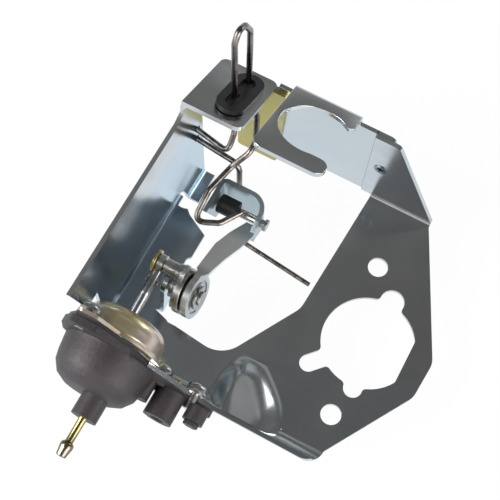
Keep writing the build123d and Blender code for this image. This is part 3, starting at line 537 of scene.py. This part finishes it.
def wire_tree():
    """Geometry Nodes tree that gives a path a round skin with closed ends."""
    tree = bpy.data.node_groups.new("wire_skin", "GeometryNodeTree")
    face = tree.interface
    face.new_socket("Geometry", in_out="INPUT", socket_type="NodeSocketGeometry")
    face.new_socket("Radius", in_out="INPUT", socket_type="NodeSocketFloat")
    face.new_socket("Sides", in_out="INPUT", socket_type="NodeSocketInt")
    face.new_socket("Material", in_out="INPUT", socket_type="NodeSocketMaterial")
    face.new_socket("Geometry", in_out="OUTPUT", socket_type="NodeSocketGeometry")
    nodes, links = tree.nodes, tree.links
    start, end = nodes.new("NodeGroupInput"), nodes.new("NodeGroupOutput")
    path = nodes.new("GeometryNodeMeshToCurve")
    profile = nodes.new("GeometryNodeCurvePrimitiveCircle")
    skin = nodes.new("GeometryNodeCurveToMesh")
    skin.inputs["Fill Caps"].default_value = True
    real = nodes.new("GeometryNodeRealizeInstances")
    paint = nodes.new("GeometryNodeSetMaterial")
    links.new(start.outputs["Geometry"], path.inputs["Mesh"])
    links.new(start.outputs["Radius"], profile.inputs["Radius"])
    links.new(start.outputs["Sides"], profile.inputs["Resolution"])
    links.new(path.outputs["Curve"], skin.inputs["Curve"])
    links.new(profile.outputs["Curve"], skin.inputs["Profile Curve"])
    links.new(skin.outputs["Mesh"], real.inputs["Geometry"])
    links.new(real.outputs["Geometry"], paint.inputs["Geometry"])
    links.new(start.outputs["Material"], paint.inputs["Material"])
    links.new(paint.outputs["Geometry"], end.inputs["Geometry"])
    return tree


def run_tree(mesh, tree, values):
    """Runs a Geometry Nodes tree over a mesh and gives back the plain result."""
    holder = held(mesh)
    step = holder.modifiers.new("tree", "NODES")
    step.node_group = tree
    for item in tree.interface.items_tree:
        if item.in_out == "INPUT" and item.name in values:
            step[item.identifier] = values[item.name]
    return applied(holder)


def wire_piece(node, path, corner, radius):
    """Round wire along a path with rounded corners, in a CAD node's place."""
    route = rounded_route(path, corner)
    line = bpy.data.meshes.new("route")
    line.from_pydata(route, [(i, i + 1) for i in range(len(route) - 1)], [])
    material = materials["dark_wire"]
    mesh = run_tree(line, wire_tree(), {"Radius": radius, "Sides": WIRE_SIDES, "Material": material})
    smooth(mesh, degrees=50.0)
    return stand_in(node, "drawn", mesh, material)


def lathe(profile, centre, count):
    """Closed turned mesh about an axis along +Y; the profile is (radius, y) in mm."""
    rows = []
    work = bmesh.new()
    for r, y in profile:
        if r == 0:
            rows.append([work.verts.new((centre[0] * MM, y * MM, centre[1] * MM))])
            continue
        ring = []
        for i in range(count):
            a = 2 * math.pi * i / count
            x, z = centre[0] + r * math.cos(a), centre[1] + r * math.sin(a)
            ring.append(work.verts.new((x * MM, y * MM, z * MM)))
        rows.append(ring)
    for low, high in zip(rows, rows[1:] + rows[:1]):
        if len(low) == 1 and len(high) == 1:
            continue
        for i in range(count):
            j = (i + 1) % count
            loop = [low[i % len(low)], low[j % len(low)], high[j % len(high)], high[i % len(high)]]
            unique = list(dict.fromkeys(loop))
            if len(unique) > 2:
                work.faces.new(unique)
    bmesh.ops.recalc_face_normals(work, faces=work.faces)
    return mesh_from(work, "turned")


def prism(low, high, name):
    """Closed solid between two outlines in mm with as many points each."""
    work = bmesh.new()
    rings = []
    for outline in (low, high):
        rings.append([work.verts.new((x * MM, y * MM, z * MM)) for x, y, z in outline])
    work.faces.new(rings[0])
    work.faces.new(list(reversed(rings[1])))
    count = len(low)
    for i in range(count):
        j = (i + 1) % count
        work.faces.new((rings[0][i], rings[0][j], rings[1][j], rings[1][i]))
    bmesh.ops.recalc_face_normals(work, faces=work.faces)
    return mesh_from(work, name)


def slab(outline, low, high):
    """Flat plate with its outline in XZ and its thickness along Y."""
    return prism([(x, low, z) for x, z in outline], [(x, high, z) for x, z in outline], "slab")


def cut_by(mesh, cutter):
    """The first mesh with the second one taken away."""
    holder, tool = held(mesh), held(cutter)
    step = holder.modifiers.new("cut", "BOOLEAN")
    step.object = tool
    step.solver = "EXACT"
    result = applied(holder)
    bpy.data.objects.remove(tool)
    return result


def joined(meshes):
    """One mesh of several."""
    work = bmesh.new()
    for mesh in meshes:
        work.from_mesh(mesh)
    return mesh_from(work, "joined")


# Screws: head as (radius, height above the washer), shank as (radius, depth below the seat), in mm

WASHER_THICKNESS = 1.0
SCREW_HEAD = (
    (0, 2.75), (1.4, 2.68), (2.5, 2.35), (3.2, 1.75), (3.55, 0.95), (3.55, 0.15), (3.4, 0.0), (1.68, 0.0),
)
SCREW_SHANK = ((1.68, 5.2), (1.4, 5.4), (0, 5.4))
SCREW_SIDES = 48
RECESS_TOP = 2.7
RECESS_OVERCUT = 0.4
RECESS_DEPTH = 1.5
RECESS_REACH = 1.9
RECESS_WIDTH = 0.8
RECESS_TAPER = 0.45
RECESS_TURN = 0.5


def cross_prism(x, y, z):
    """Tapered cross with its open end at height y along +Y."""
    corner = RECESS_WIDTH / 2
    outline = []
    for quarter in range(4):
        turn = Matrix.Rotation(quarter * math.pi / 2 + RECESS_TURN, 2)
        for point in ((RECESS_REACH, -corner), (RECESS_REACH, corner), (corner, corner)):
            outline.append(turn @ Vector(point))
    ends = []
    for share, level in ((RECESS_TAPER, y - RECESS_DEPTH), (1.0, y + RECESS_OVERCUT)):
        ends.append([(x + p.x * share, level, z + p.y * share) for p in outline])
    return prism(*ends, "cross")


def pan_screw(x, z, seat):
    """Pan-headed screw with a cross recess, standing on its washer."""
    base = seat + WASHER_THICKNESS
    head = [(radius, base + height) for radius, height in SCREW_HEAD]
    shank = [(radius, seat - depth) for radius, depth in SCREW_SHANK]
    mesh = cut_by(lathe(head + shank, (x, z), SCREW_SIDES), cross_prism(x, base + RECESS_TOP, z))
    smooth(mesh, degrees=28.0)
    return mesh


# Actuator: profiles as (radius, y), flange corners as (x, z), in mm

NIPPLE_PROFILE = (
    (0.6, -66.0), (1.5, -66.0), (1.5, -70.4), (1.32, -70.8), (1.32, -78.0), (1.55, -78.2), (2.1, -78.7),
    (2.2, -79.1), (2.2, -80.1), (2.08, -80.4), (1.72, -82.7), (1.5, -83.1), (0.9, -83.19), (0.6, -83.0),
)
NIPPLE_SIDES = 64
DOME_FOOT = ((15.9, -43.7), (15.0, -43.4), (14.45, -42.8), (14.2, -41.8))
DOME_SHOULDER = (9.2, -39.7)
DOME_OUTER_RADIUS = 5.0
DOME_INNER_RADIUS = 4.0
DOME_MOUTH = ((4.4, -34.75), (3.7, -35.0), (3.5, -35.5))
DOME_RIM = ((13.2, -44.6), (15.9, -44.6))
DOME_SIDES = 96
SHOULDER_STEPS = 12
FLANGE_CORNERS = (
    (-81.6, 3.0), (-81.6, 41.0), (-74.5, 40.6), (-66.4, 34.0), (-57.4, 22.6), (-56.4, 15.0), (-60.4, 9.0),
    (-60.4, 3.0),
)
FLANGE_FACES_Y = (-44.8, -43.6)
FLANGE_CORNER = 0.0024
FLANGE_STEPS = 6


def barbed_nipple():
    """Thin tube with a shouldered, tapered barb and its bore."""
    mesh = lathe(NIPPLE_PROFILE, NIPPLE, NIPPLE_SIDES)
    smooth(mesh, degrees=40.0)
    return mesh


def arc(centre, radius, start, end, count):
    """Points on an arc, angles in degrees from +X towards +Y."""
    turns = (math.radians(start + (end - start) * i / count) for i in range(count + 1))
    return [(centre[0] + radius * math.cos(t), centre[1] + radius * math.sin(t)) for t in turns]


def closed_round(corners, radius):
    """Rounded closed outline of plain corners, all in mm but the radius, which is in metres."""
    ring = [(x, y, 0.0) for x, y in corners]
    middle = tuple((a + b) / 2 for a, b in zip(ring[0], ring[-1]))
    route = rounded_route([middle, *ring, middle], radius, FLANGE_STEPS)[:-1]
    return [in_mm(point[:2]) for point in route]


def pressed_dome():
    """Deep-drawn dome with a round shoulder, a soft foot and its flange with uneven corners."""
    outer = arc(DOME_SHOULDER, DOME_OUTER_RADIUS, 0, 90, SHOULDER_STEPS)
    inner = arc(DOME_SHOULDER, DOME_INNER_RADIUS, 90, 0, SHOULDER_STEPS)
    dome = lathe([*DOME_FOOT, *outer, *DOME_MOUTH, *inner, *DOME_RIM], ACTUATOR, DOME_SIDES)
    flange = slab(closed_round(FLANGE_CORNERS, FLANGE_CORNER), *FLANGE_FACES_Y)
    whole = joined([dome, flange])
    smooth(whole, degrees=36.0)
    return whole


# Pieces of the linkage, and the grommet

LINKAGE_PIECES = (
    "throttle_lever", "crank_plate", "hub_spool", "pivot_stud", "pivot_clip", "crank_pin", "crank_washer",
    "crank_clip", "lever_pin", "rubber_bush", "torsion_spring", "grommet",
)

# Pieces bent or drawn in from the solids, in mm

HUB_LEAN = 0.18
LEAN_X = (-63.5, -60.0)
LEAN_REACH = (8.2, 15.0)
TILTED_PIECES = ("throttle_lever", "hub_spool", "torsion_spring", "pivot_clip", "pivot_stud")
COIL_MIDDLE_X = -57.845
COIL_PLACE_X = -58.10
COIL_THICKNESS = 0.60
COIL_INNER_RADIUS = 5.1
COIL_WIDTH = 0.66
HUB_DISC_X = (-58.5, -57.9)
HUB_CORE_RADIUS = 5.2
GROOVE_STEP = 0.45
ROD_START = (-46.2, 19.0)
ROD_END = (-17.4, 22.7)
ROD_BEND_START_Y = -26.0
ROD_BEND_RUN = 8.6
ROD_BEND_RISE = 3.7
ROD_EYE_Y = (-20.6, -18.4)
ROD_PLATE_Y = (-44.0, -42.5)
ROD_STOUTER = 0.18
LIPS_ACROSS = 0.87
LIPS_ALONG = 0.93
CLINCH_SPREAD = 1.15


def clamp(value):
    return max(0.0, min(1.0, value))


def step_between(value, low, high):
    """0 at low, 1 at high, smooth between."""
    share = clamp((value - low) / (high - low))
    return share * share * (3.0 - 2.0 * share)


def slim_coil(mesh):
    """Thinner, smaller spring coil, which keeps clear of both leaning discs as the lever turns."""
    for vertex in mesh.vertices:
        x, y, z = in_mm(vertex.co)
        across, up = y - PIVOT[0], z - PIVOT[1]
        reach = math.hypot(across, up)
        share = (COIL_INNER_RADIUS + (reach - COIL_INNER_RADIUS) * COIL_WIDTH) / reach
        x = COIL_PLACE_X + (x - COIL_MIDDLE_X) * COIL_THICKNESS
        vertex.co = Vector((x, PIVOT[0] + across * share, PIVOT[1] + up * share)) * MM


def open_groove(mesh):
    """Draws the hub's disc back from the lever's disc."""
    for vertex in mesh.vertices:
        x, y, z = in_mm(vertex.co)
        reach = math.hypot(y - PIVOT[0], z - PIVOT[1])
        if HUB_DISC_X[0] < x < HUB_DISC_X[1] and reach > HUB_CORE_RADIUS:
            vertex.co.x -= GROOVE_STEP * MM


def tilt_hub(mesh):
    """Leans the faces of the hub's discs upwards; the lean dies out along the lever's arm."""
    for vertex in mesh.vertices:
        x, y, z = in_mm(vertex.co)
        reach = math.hypot(y - PIVOT[0], z - PIVOT[1])
        share = step_between(x, *LEAN_X) * (1.0 - step_between(reach, *LEAN_REACH))
        vertex.co.x = (x - HUB_LEAN * (z - PIVOT[1]) * share) * MM


def straighten_rod(mesh):
    """Pull rod as one straight, stouter round between the diaphragm plate and its eye."""
    slope = ROD_END[1] - ROD_START[1]
    for vertex in mesh.vertices:
        x, y, z = in_mm(vertex.co)
        bent = ROD_START[1] + clamp((y - ROD_BEND_START_Y) / ROD_BEND_RUN) * ROD_BEND_RISE
        line = ROD_START[1] + slope * (y - ROD_START[0]) / (ROD_END[0] - ROD_START[0])
        share = 1.0 - step_between(y, *ROD_EYE_Y)
        stout = 1.0 + ROD_STOUTER * share * step_between(y, *ROD_PLATE_Y)
        x = ACTUATOR[0] + (x - ACTUATOR[0]) * stout
        z = z + share * ((line - bent) + (z - bent) * (stout - 1.0))
        vertex.co = Vector((x, y, z)) * MM


def narrow_lips(mesh):
    """Draws the grommet's lips in to just past the edge of their slot."""
    stretch(mesh, 0, GROMMET_CENTRE[0], LIPS_ACROSS)
    stretch(mesh, 1, GROMMET_CENTRE[1], LIPS_ALONG)


# Stiffening dart: a soft skin over the ramp and its flanks, in mm

SHEET = 1.5
LIP_TANGENT_Y = -39.8
LIP_RADIUS = 5.0
LIP_STEEPEST = 0.97
RAMP_START_Y = -26.0
RAMP_FOOT = 2.1
RAMP_RISE = 0.19
FLANK_BLEND = 2.6
FOOT_BLEND = 1.7
DART_FLANKS = (
    ((-35.5, -25.4), (-38.9, -37.0), 0.85),
    ((-38.9, -37.0), (-38.0, -46.0), 0.85),
    ((-12.2, -46.0), (-12.8, -37.6), 0.85),
    ((-12.8, -37.6), (-15.6, -33.0), 0.85),
    ((-15.6, -33.0), (-28.2, -23.4), 0.80),
    ((-28.6, -24.0), (-35.5, -25.4), 0.80),
)
DART_X = (-41.0, -6.5)
DART_Y = (-44.85, -23.5)
DART_CLEAR = 0.05
HOLLOW_X = (-41.0, -9.9)
HOLLOW_LOW = 1.0
LEVEL_NORMAL = 0.3
CELL = 0.6
CELLS_ACROSS = 54
CELLS_ALONG = 36
FIRST_CUT_Y = -44.82
SKIN_GAP = 0.12
SKIN_X = (-42.0, -6.0)
SKIN_Y = (-44.6, -23.5)
SKIN_CELLS = 120
SKIN_LIFT = 0.004
WINDOW_CORNER = (-36.4, -27.0)


def soft_low(a, b, blend):
    """The lower of two heights, with a round corner between them."""
    share = clamp(0.5 + 0.5 * (b - a) / blend)
    return b + (a - b) * share - blend * share * (1.0 - share)


def soft_high(a, b, blend):
    """The higher of two heights, with a round corner between them."""
    return -soft_low(-a, -b, blend)


def flank(x, y, start, end, slope):
    """Height of a slanted plane that rises to the left of the line from start to end."""
    run = (end[0] - start[0], end[1] - start[1])
    inward = (run[0] * (y - start[1]) - run[1] * (x - start[0])) / math.hypot(*run)
    return inward * slope


def lip_height(y):
    """Upper face of the plate and of the round bend into the lip."""
    into = min(max(LIP_TANGENT_Y - y, 0.0), LIP_RADIUS * LIP_STEEPEST)
    return SHEET + LIP_RADIUS - math.sqrt(LIP_RADIUS ** 2 - into ** 2)


def dart_height(x, y):
    """Upper face of the plate, the lip's bend and the dart together."""
    ramp = RAMP_FOOT + RAMP_RISE * (RAMP_START_Y - y)
    for start, end, slope in DART_FLANKS:
        ramp = soft_low(ramp, flank(x, y, start, end, slope), FLANK_BLEND)
    return soft_high(lip_height(y), SHEET + ramp, FOOT_BLEND)


def spaced(ends, count):
    """Even places from the first end to the last."""
    low, high = ends
    return [low + (high - low) * i / count for i in range(count + 1)]


def dart_skin():
    """Grid over the dart and the bend beside it; its border dips just under the plate."""
    work = bmesh.new()
    xs, ys = spaced(SKIN_X, SKIN_CELLS), spaced(SKIN_Y, SKIN_CELLS)
    grid = []
    for i, x in enumerate(xs):
        row = []
        for j, y in enumerate(ys):
            border = i in (0, SKIN_CELLS) or j in (0, SKIN_CELLS)
            z = dart_height(x, y) + (-SKIN_LIFT if border else SKIN_LIFT)
            row.append(work.verts.new((x * MM, y * MM, z * MM)))
        grid.append(row)
    for i in range(SKIN_CELLS):
        for j in range(SKIN_CELLS):
            if xs[i] > WINDOW_CORNER[0] or ys[j] < WINDOW_CORNER[1]:
                work.faces.new((grid[i][j], grid[i + 1][j], grid[i + 1][j + 1], grid[i][j + 1]))
    loose = [vertex for vertex in work.verts if not vertex.link_faces]
    bmesh.ops.delete(work, geom=loose, context="VERTS")
    mesh = mesh_from(work, "dart_skin")
    smooth(mesh, degrees=60.0)
    return mesh


def within(x, y, x_ends, y_ends):
    return x_ends[0] < x < x_ends[1] and y_ends[0] < y < y_ends[1]


def trim_hollow(work):
    """Cuts the plain hollow under the dart into cells and drops the cells that stand above the skin."""
    hollow = []
    for face in work.faces:
        x, y, z = in_mm(face.calc_center_median())
        if within(x, y, HOLLOW_X, DART_Y) and z > HOLLOW_LOW and face.normal.z < LEVEL_NORMAL:
            hollow.append(face)
    parts = set(hollow)
    for face in hollow:
        parts.update(face.edges)
        parts.update(face.verts)
    cuts = [((1, 0, 0), HOLLOW_X[0] + CELL * i) for i in range(CELLS_ACROSS)]
    cuts += [((0, 1, 0), FIRST_CUT_Y + CELL * i) for i in range(CELLS_ALONG)]
    for normal, place in cuts:
        point = tuple(n * place * MM for n in normal)
        result = bmesh.ops.bisect_plane(work, geom=list(parts), dist=1e-7, plane_co=point, plane_no=normal)
        parts = set(result["geom"])
    proud = []
    for face in (part for part in parts if isinstance(part, bmesh.types.BMFace)):
        x, y, z = in_mm(face.calc_center_median())
        if y > FIRST_CUT_Y and z > dart_height(x, y) - SKIN_GAP:
            proud.append(face)
    bmesh.ops.delete(work, geom=proud, context="FACES")


# Values that a user would change

def colour_value(name, description, default):
    return bpy.props.FloatVectorProperty(name=name, description=description, subtype="COLOR", default=default)


def length_value(name, description, default):
    return bpy.props.FloatProperty(
        name=name, description=description, default=default, subtype="DISTANCE", unit="LENGTH")


class BracketFinishes(bpy.types.PropertyGroup):
    zinc: colour_value("Zinc", "Plating of the two bent sheets", (0.64, 0.65, 0.66))
    lever_zinc: colour_value("Lever zinc", "Plating of the lever and the crank plate", (0.80, 0.81, 0.82))
    chromate: colour_value("Chromate", "Yellow chromate of the dome", (0.70, 0.60, 0.36))
    chromate_tint: colour_value("Chromate tint", "Pink drift in the dome's chromate", (0.66, 0.55, 0.48))
    cast: colour_value("Casting", "Die-cast cap and its plug", (0.030, 0.025, 0.027))
    wire: colour_value("Wire", "Bail wire, anchor wire, link rod and springs", (0.20, 0.175, 0.16))
    steel: colour_value("Steel", "Pins, clips and screws", (0.52, 0.51, 0.50))
    brass: colour_value("Brass", "Rivet and crank washer", (0.72, 0.58, 0.26))
    nipple: colour_value("Nipple", "Olive brass of the nipple", (0.30, 0.26, 0.12))
    rubber: colour_value("Rubber", "Grommet, bush and diaphragm", (0.012, 0.012, 0.013))


class BracketSizes(bpy.types.PropertyGroup):
    edge: length_value("Sheet edge", "Broken edge of the bent sheets", 0.00016)
    wire_radius: length_value("Wire radius", "Radius of the bail and anchor wires", 0.001)
    floor_drop: length_value("Floor drop", "Gap between the object's lowest point and the floor", 0.0002)


# Steps, each an operator of the add-on

materials = {}


class BRACKET_OT_materials(bpy.types.Operator):
    """Makes every finish of the bracket"""

    bl_idname = "bracket.materials"
    bl_label = "Make the finishes"

    def execute(self, context):
        tone = context.scene.bracket_finishes
        zinc, wire = tuple(tone.zinc), tuple(tone.wire)
        sheet = {"roughness": SHEET_ROUGHNESS, "grain": SHEET_GRAIN}
        materials.update(
            zinc_sheet=new_material("zinc_sheet", zinc_sheet, zinc, drift=1.0, **sheet),
            # The cable bracket carries the painted contact shadow beside the gusset's edge
            zinc_cable=new_material("zinc_cable", zinc_sheet, zinc, joint=0.9, **sheet),
            zinc_lever=new_material("zinc_lever", zinc_lever, tuple(tone.lever_zinc)),
            chromate=new_material(
                "yellow_chromate", chromate_steel, tuple(tone.chromate), tuple(tone.chromate_tint)),
            olive=new_material("olive_chromate", chromate_steel, OLIVE, OLIVE_TINT),
            die_cast=new_material("die_cast", cast_zinc, tuple(tone.cast)),
            dark_wire=new_material("dark_wire", drawn_wire, wire),
            # The clinch's darker steel is partly painted shade of its hollow
            clinch=new_material("dark_steel_and_shade", drawn_wire, CLINCH_STEEL_AND_SHADE),
            steel=new_material("plated_steel", turned_steel, tuple(tone.steel)),
            brass=new_material("satin_brass", turned_steel, tuple(tone.brass)),
            nipple=new_material("aged_brass", aged_brass, tuple(tone.nipple), wire),
            black_rubber=new_material("black_rubber", moulded_rubber, tuple(tone.rubber)),
        )
        return {"FINISHED"}


class BRACKET_OT_stage(bpy.types.Operator):
    """Sets the floor, the lights and the camera at the photograph's angle"""

    bl_idname = "bracket.stage"
    bl_label = "Set the stage"

    def execute(self, context):
        scene = context.scene
        scene.view_settings.view_transform = "Standard"
        self.camera(scene)
        self.world(scene)
        self.floor(scene, context.scene.bracket_sizes.floor_drop)
        for lamp in LAMPS:
            self.lamp(scene, *lamp)
        return {"FINISHED"}

    def camera(self, scene):
        data = bpy.data.cameras.new("photo_view")
        data.sensor_width = SENSOR_WIDTH
        data.lens = PHOTO_FOCAL_PX * SENSOR_WIDTH / PHOTO_WIDTH_PX
        data.clip_start = NEAR_CLIP
        view = bpy.data.objects.new("photo_view", data)
        turn = Matrix(CAMERA_TURN).transposed().to_4x4()
        view.matrix_world = Matrix.Translation(CAMERA_PLACE) @ turn
        scene.collection.objects.link(view)
        scene.camera = view

    def world(self, scene):
        """Dim sky with a window on the left, a skylight behind, a bright front and a bright ground."""
        world = bpy.data.worlds.new("studio")
        scene.world = world
        sh = Shader(world)
        direction = sh.make("ShaderNodeTexCoord", output="Generated")
        right, away, up = (sh.along(axis, direction) for axis in "XYZ")
        window = (0.0 - right).band(*WINDOW_LEFT) * up.band(*WINDOW_UP) * WINDOW_LIGHT
        skylight = away.band(*SKYLIGHT_BACK) * (1.0 - away.band(*SKYLIGHT_FAR))
        skylight = skylight * up.band(*SKYLIGHT_UP) * SKYLIGHT_LIGHT
        sky = SKY_LIGHT + (1.0 - up.band(*SKY_RIM_UP)) * SKY_RIM_LIGHT + window + skylight
        front = (0.0 - away).band(*FRONT_NEAR) * (1.0 - up.band(*FRONT_UP)) * FRONT_LIGHT
        ground = (1.0 - up.band(*GROUND_UP)) * GROUND_LIGHT
        horizon = (1.0 - up.band(*HORIZON_UP)) * sh.seen()
        light = (sky + front + ground) * (1.0 - horizon) + horizon
        back = sh.make("ShaderNodeBackground", Color=SKY_TINT, Strength=light)
        out = sh.tree.nodes.new("ShaderNodeOutputWorld")
        sh.tree.links.new(back.out, out.inputs["Surface"])

    def floor(self, scene, drop):
        """White floor that glows for seen rays and lights the object only as a matt surface."""
        low = cad_box[0][2] - drop
        half = FLOOR_HALF
        mesh = bpy.data.meshes.new("floor")
        corners = [(-half, -half, low), (half, -half, low), (half, half, low), (-half, half, low)]
        mesh.from_pydata(corners, [], [(0, 1, 2, 3)])
        plane = bpy.data.objects.new("floor", mesh)
        scene.collection.objects.link(plane)
        material = bpy.data.materials.new("white_floor")
        sh = Shader(material)
        matt = sh.make("ShaderNodeBsdfDiffuse", Color=FLOOR_GREY)
        tint = sh.mix(sh.ray("Glossy"), FLOOR_WHITE, FLOOR_MIRRORED)
        white = sh.make("ShaderNodeEmission", Color=tint, Strength=1.0)
        share = sh.seen() * FLOOR_GLOW
        sh.make_output(sh.make("ShaderNodeMixShader", in0=share, in1=matt, in2=white))
        mesh.materials.append(material)

    def lamp(self, scene, name, place, size, power):
        data = bpy.data.lights.new(name, "AREA")
        data.shape = "SQUARE"
        data.size = size
        data.energy = power
        lamp = bpy.data.objects.new(name, data)
        aim = Vector(LAMP_AIM) - Vector(place)
        lamp.rotation_euler = aim.to_track_quat("-Z", "Y").to_euler()
        lamp.location = place
        scene.collection.objects.link(lamp)


class BRACKET_OT_sheets(bpy.types.Operator):
    """Finishes the main bracket, the cable bracket, the clinch and the stop plate"""

    bl_idname = "bracket.sheets"
    bl_label = "Finish the bent sheets"

    def execute(self, context):
        edge = context.scene.bracket_sizes.edge
        plate = dress("main_bracket", materials["zinc_sheet"], edge)
        self.lay_dart(plate)
        dress("cable_bracket", materials["zinc_cable"], edge)
        # The clinch is dressed in darker steel that partly stands for shade in its hollow
        clinch = dress("clinch_rivet", materials["clinch"], edge)
        stretch(clinch.data, 0, CLINCH[0], CLINCH_SPREAD)
        stretch(clinch.data, 2, CLINCH[1], CLINCH_SPREAD)
        dress("stop_plate", materials["olive"], edge)
        return {"FINISHED"}

    def lay_dart(self, plate):
        """Takes the plain faces of the dart out of the plate and lays the soft skin there."""
        work = bmesh.new()
        work.from_mesh(plate.data)
        plain_faces = []
        for face in work.faces:
            x, y, z = in_mm(face.calc_center_median())
            inside = within(x, y, DART_X, DART_Y) and z > lip_height(y) + DART_CLEAR
            if inside and face.normal.z > LEVEL_NORMAL:
                plain_faces.append(face)
        bmesh.ops.delete(work, geom=plain_faces, context="FACES")
        trim_hollow(work)
        work.from_mesh(dart_skin())
        work.to_mesh(plate.data)
        work.free()


class BRACKET_OT_wires(bpy.types.Operator):
    """Draws the bail wire, the anchor wire and the link rod"""

    bl_idname = "bracket.wires"
    bl_label = "Draw the wires"

    def execute(self, context):
        radius = context.scene.bracket_sizes.wire_radius
        wire_piece("bail_wire", BAIL_PATH, BAIL_CORNER, radius)
        wire_piece("anchor_wire", ANCHOR_PATH, ANCHOR_CORNER, radius)
        wire_piece("link_rod", LINK_PATH, LINK_CORNER, LINK_RADIUS)
        return {"FINISHED"}


class BRACKET_OT_actuator(bpy.types.Operator):
    """Finishes the actuator's cap, dome, nipple, rod and hidden parts"""

    bl_idname = "bracket.actuator"
    bl_label = "Finish the actuator"

    def execute(self, context):
        dress("diaphragm_cap", materials["die_cast"], segments=3)
        dress("port_plug", materials["die_cast"])
        stand_in("dome_cover", "pressed", pressed_dome(), materials["chromate"])
        stand_in("vacuum_nipple", "turned", barbed_nipple(), materials["nipple"])
        straighten_rod(dress("pull_rod", materials["steel"]).data)
        dress("rod_pin", materials["steel"])
        dress("brass_rivet", materials["brass"])
        screws = joined([pan_screw(*spot) for spot in SCREW_SPOTS])
        stand_in("flange_screws", "turned", screws, materials["steel"])
        dress("screw_washers", materials["steel"])
        dress("diaphragm", materials["black_rubber"])
        dress("diaphragm_plate", materials["steel"])
        dress("return_spring", materials["dark_wire"])
        return {"FINISHED"}


class BRACKET_OT_linkage(bpy.types.Operator):
    """Finishes the lever, its hub, its pins, its clips and the grommet"""

    bl_idname = "bracket.linkage"
    bl_label = "Finish the lever"

    def execute(self, context):
        for node in LINKAGE_PIECES:
            piece = dress(node, materials[slot_of(node)])
            if node == "torsion_spring":
                slim_coil(piece.data)
            if node == "hub_spool":
                open_groove(piece.data)
            if node in TILTED_PIECES:
                tilt_hub(piece.data)
            if node == "grommet":
                narrow_lips(piece.data)
        return {"FINISHED"}


class BRACKET_PT_panel(bpy.types.Panel):
    """Lists the steps and the values of the bracket"""

    bl_idname = "BRACKET_PT_panel"
    bl_label = "Throttle bracket"
    bl_space_type = "VIEW_3D"
    bl_region_type = "UI"
    bl_category = "Bracket"

    def draw(self, context):
        for kind in steps:
            self.layout.operator(kind.bl_idname)
        for group in (context.scene.bracket_sizes, context.scene.bracket_finishes):
            for key in group.__annotations__:
                self.layout.prop(group, key)


steps = (
    BRACKET_OT_materials, BRACKET_OT_stage, BRACKET_OT_sheets, BRACKET_OT_wires, BRACKET_OT_actuator,
    BRACKET_OT_linkage,
)
classes = (BracketFinishes, BracketSizes, *steps, BRACKET_PT_panel)


def register():
    for kind in classes:
        bpy.utils.register_class(kind)
    bpy.types.Scene.bracket_finishes = bpy.props.PointerProperty(type=BracketFinishes)
    bpy.types.Scene.bracket_sizes = bpy.props.PointerProperty(type=BracketSizes)


def unregister():
    del bpy.types.Scene.bracket_sizes
    del bpy.types.Scene.bracket_finishes
    for kind in reversed(classes):
        bpy.utils.unregister_class(kind)


def plain(box):
    return [[float(v) for v in corner] for corner in box]


def main():
    register()
    for kind in steps:
        group, call = kind.bl_idname.split(".")
        getattr(getattr(bpy.ops, group), call)()


if __name__ == "__main__":
    main()
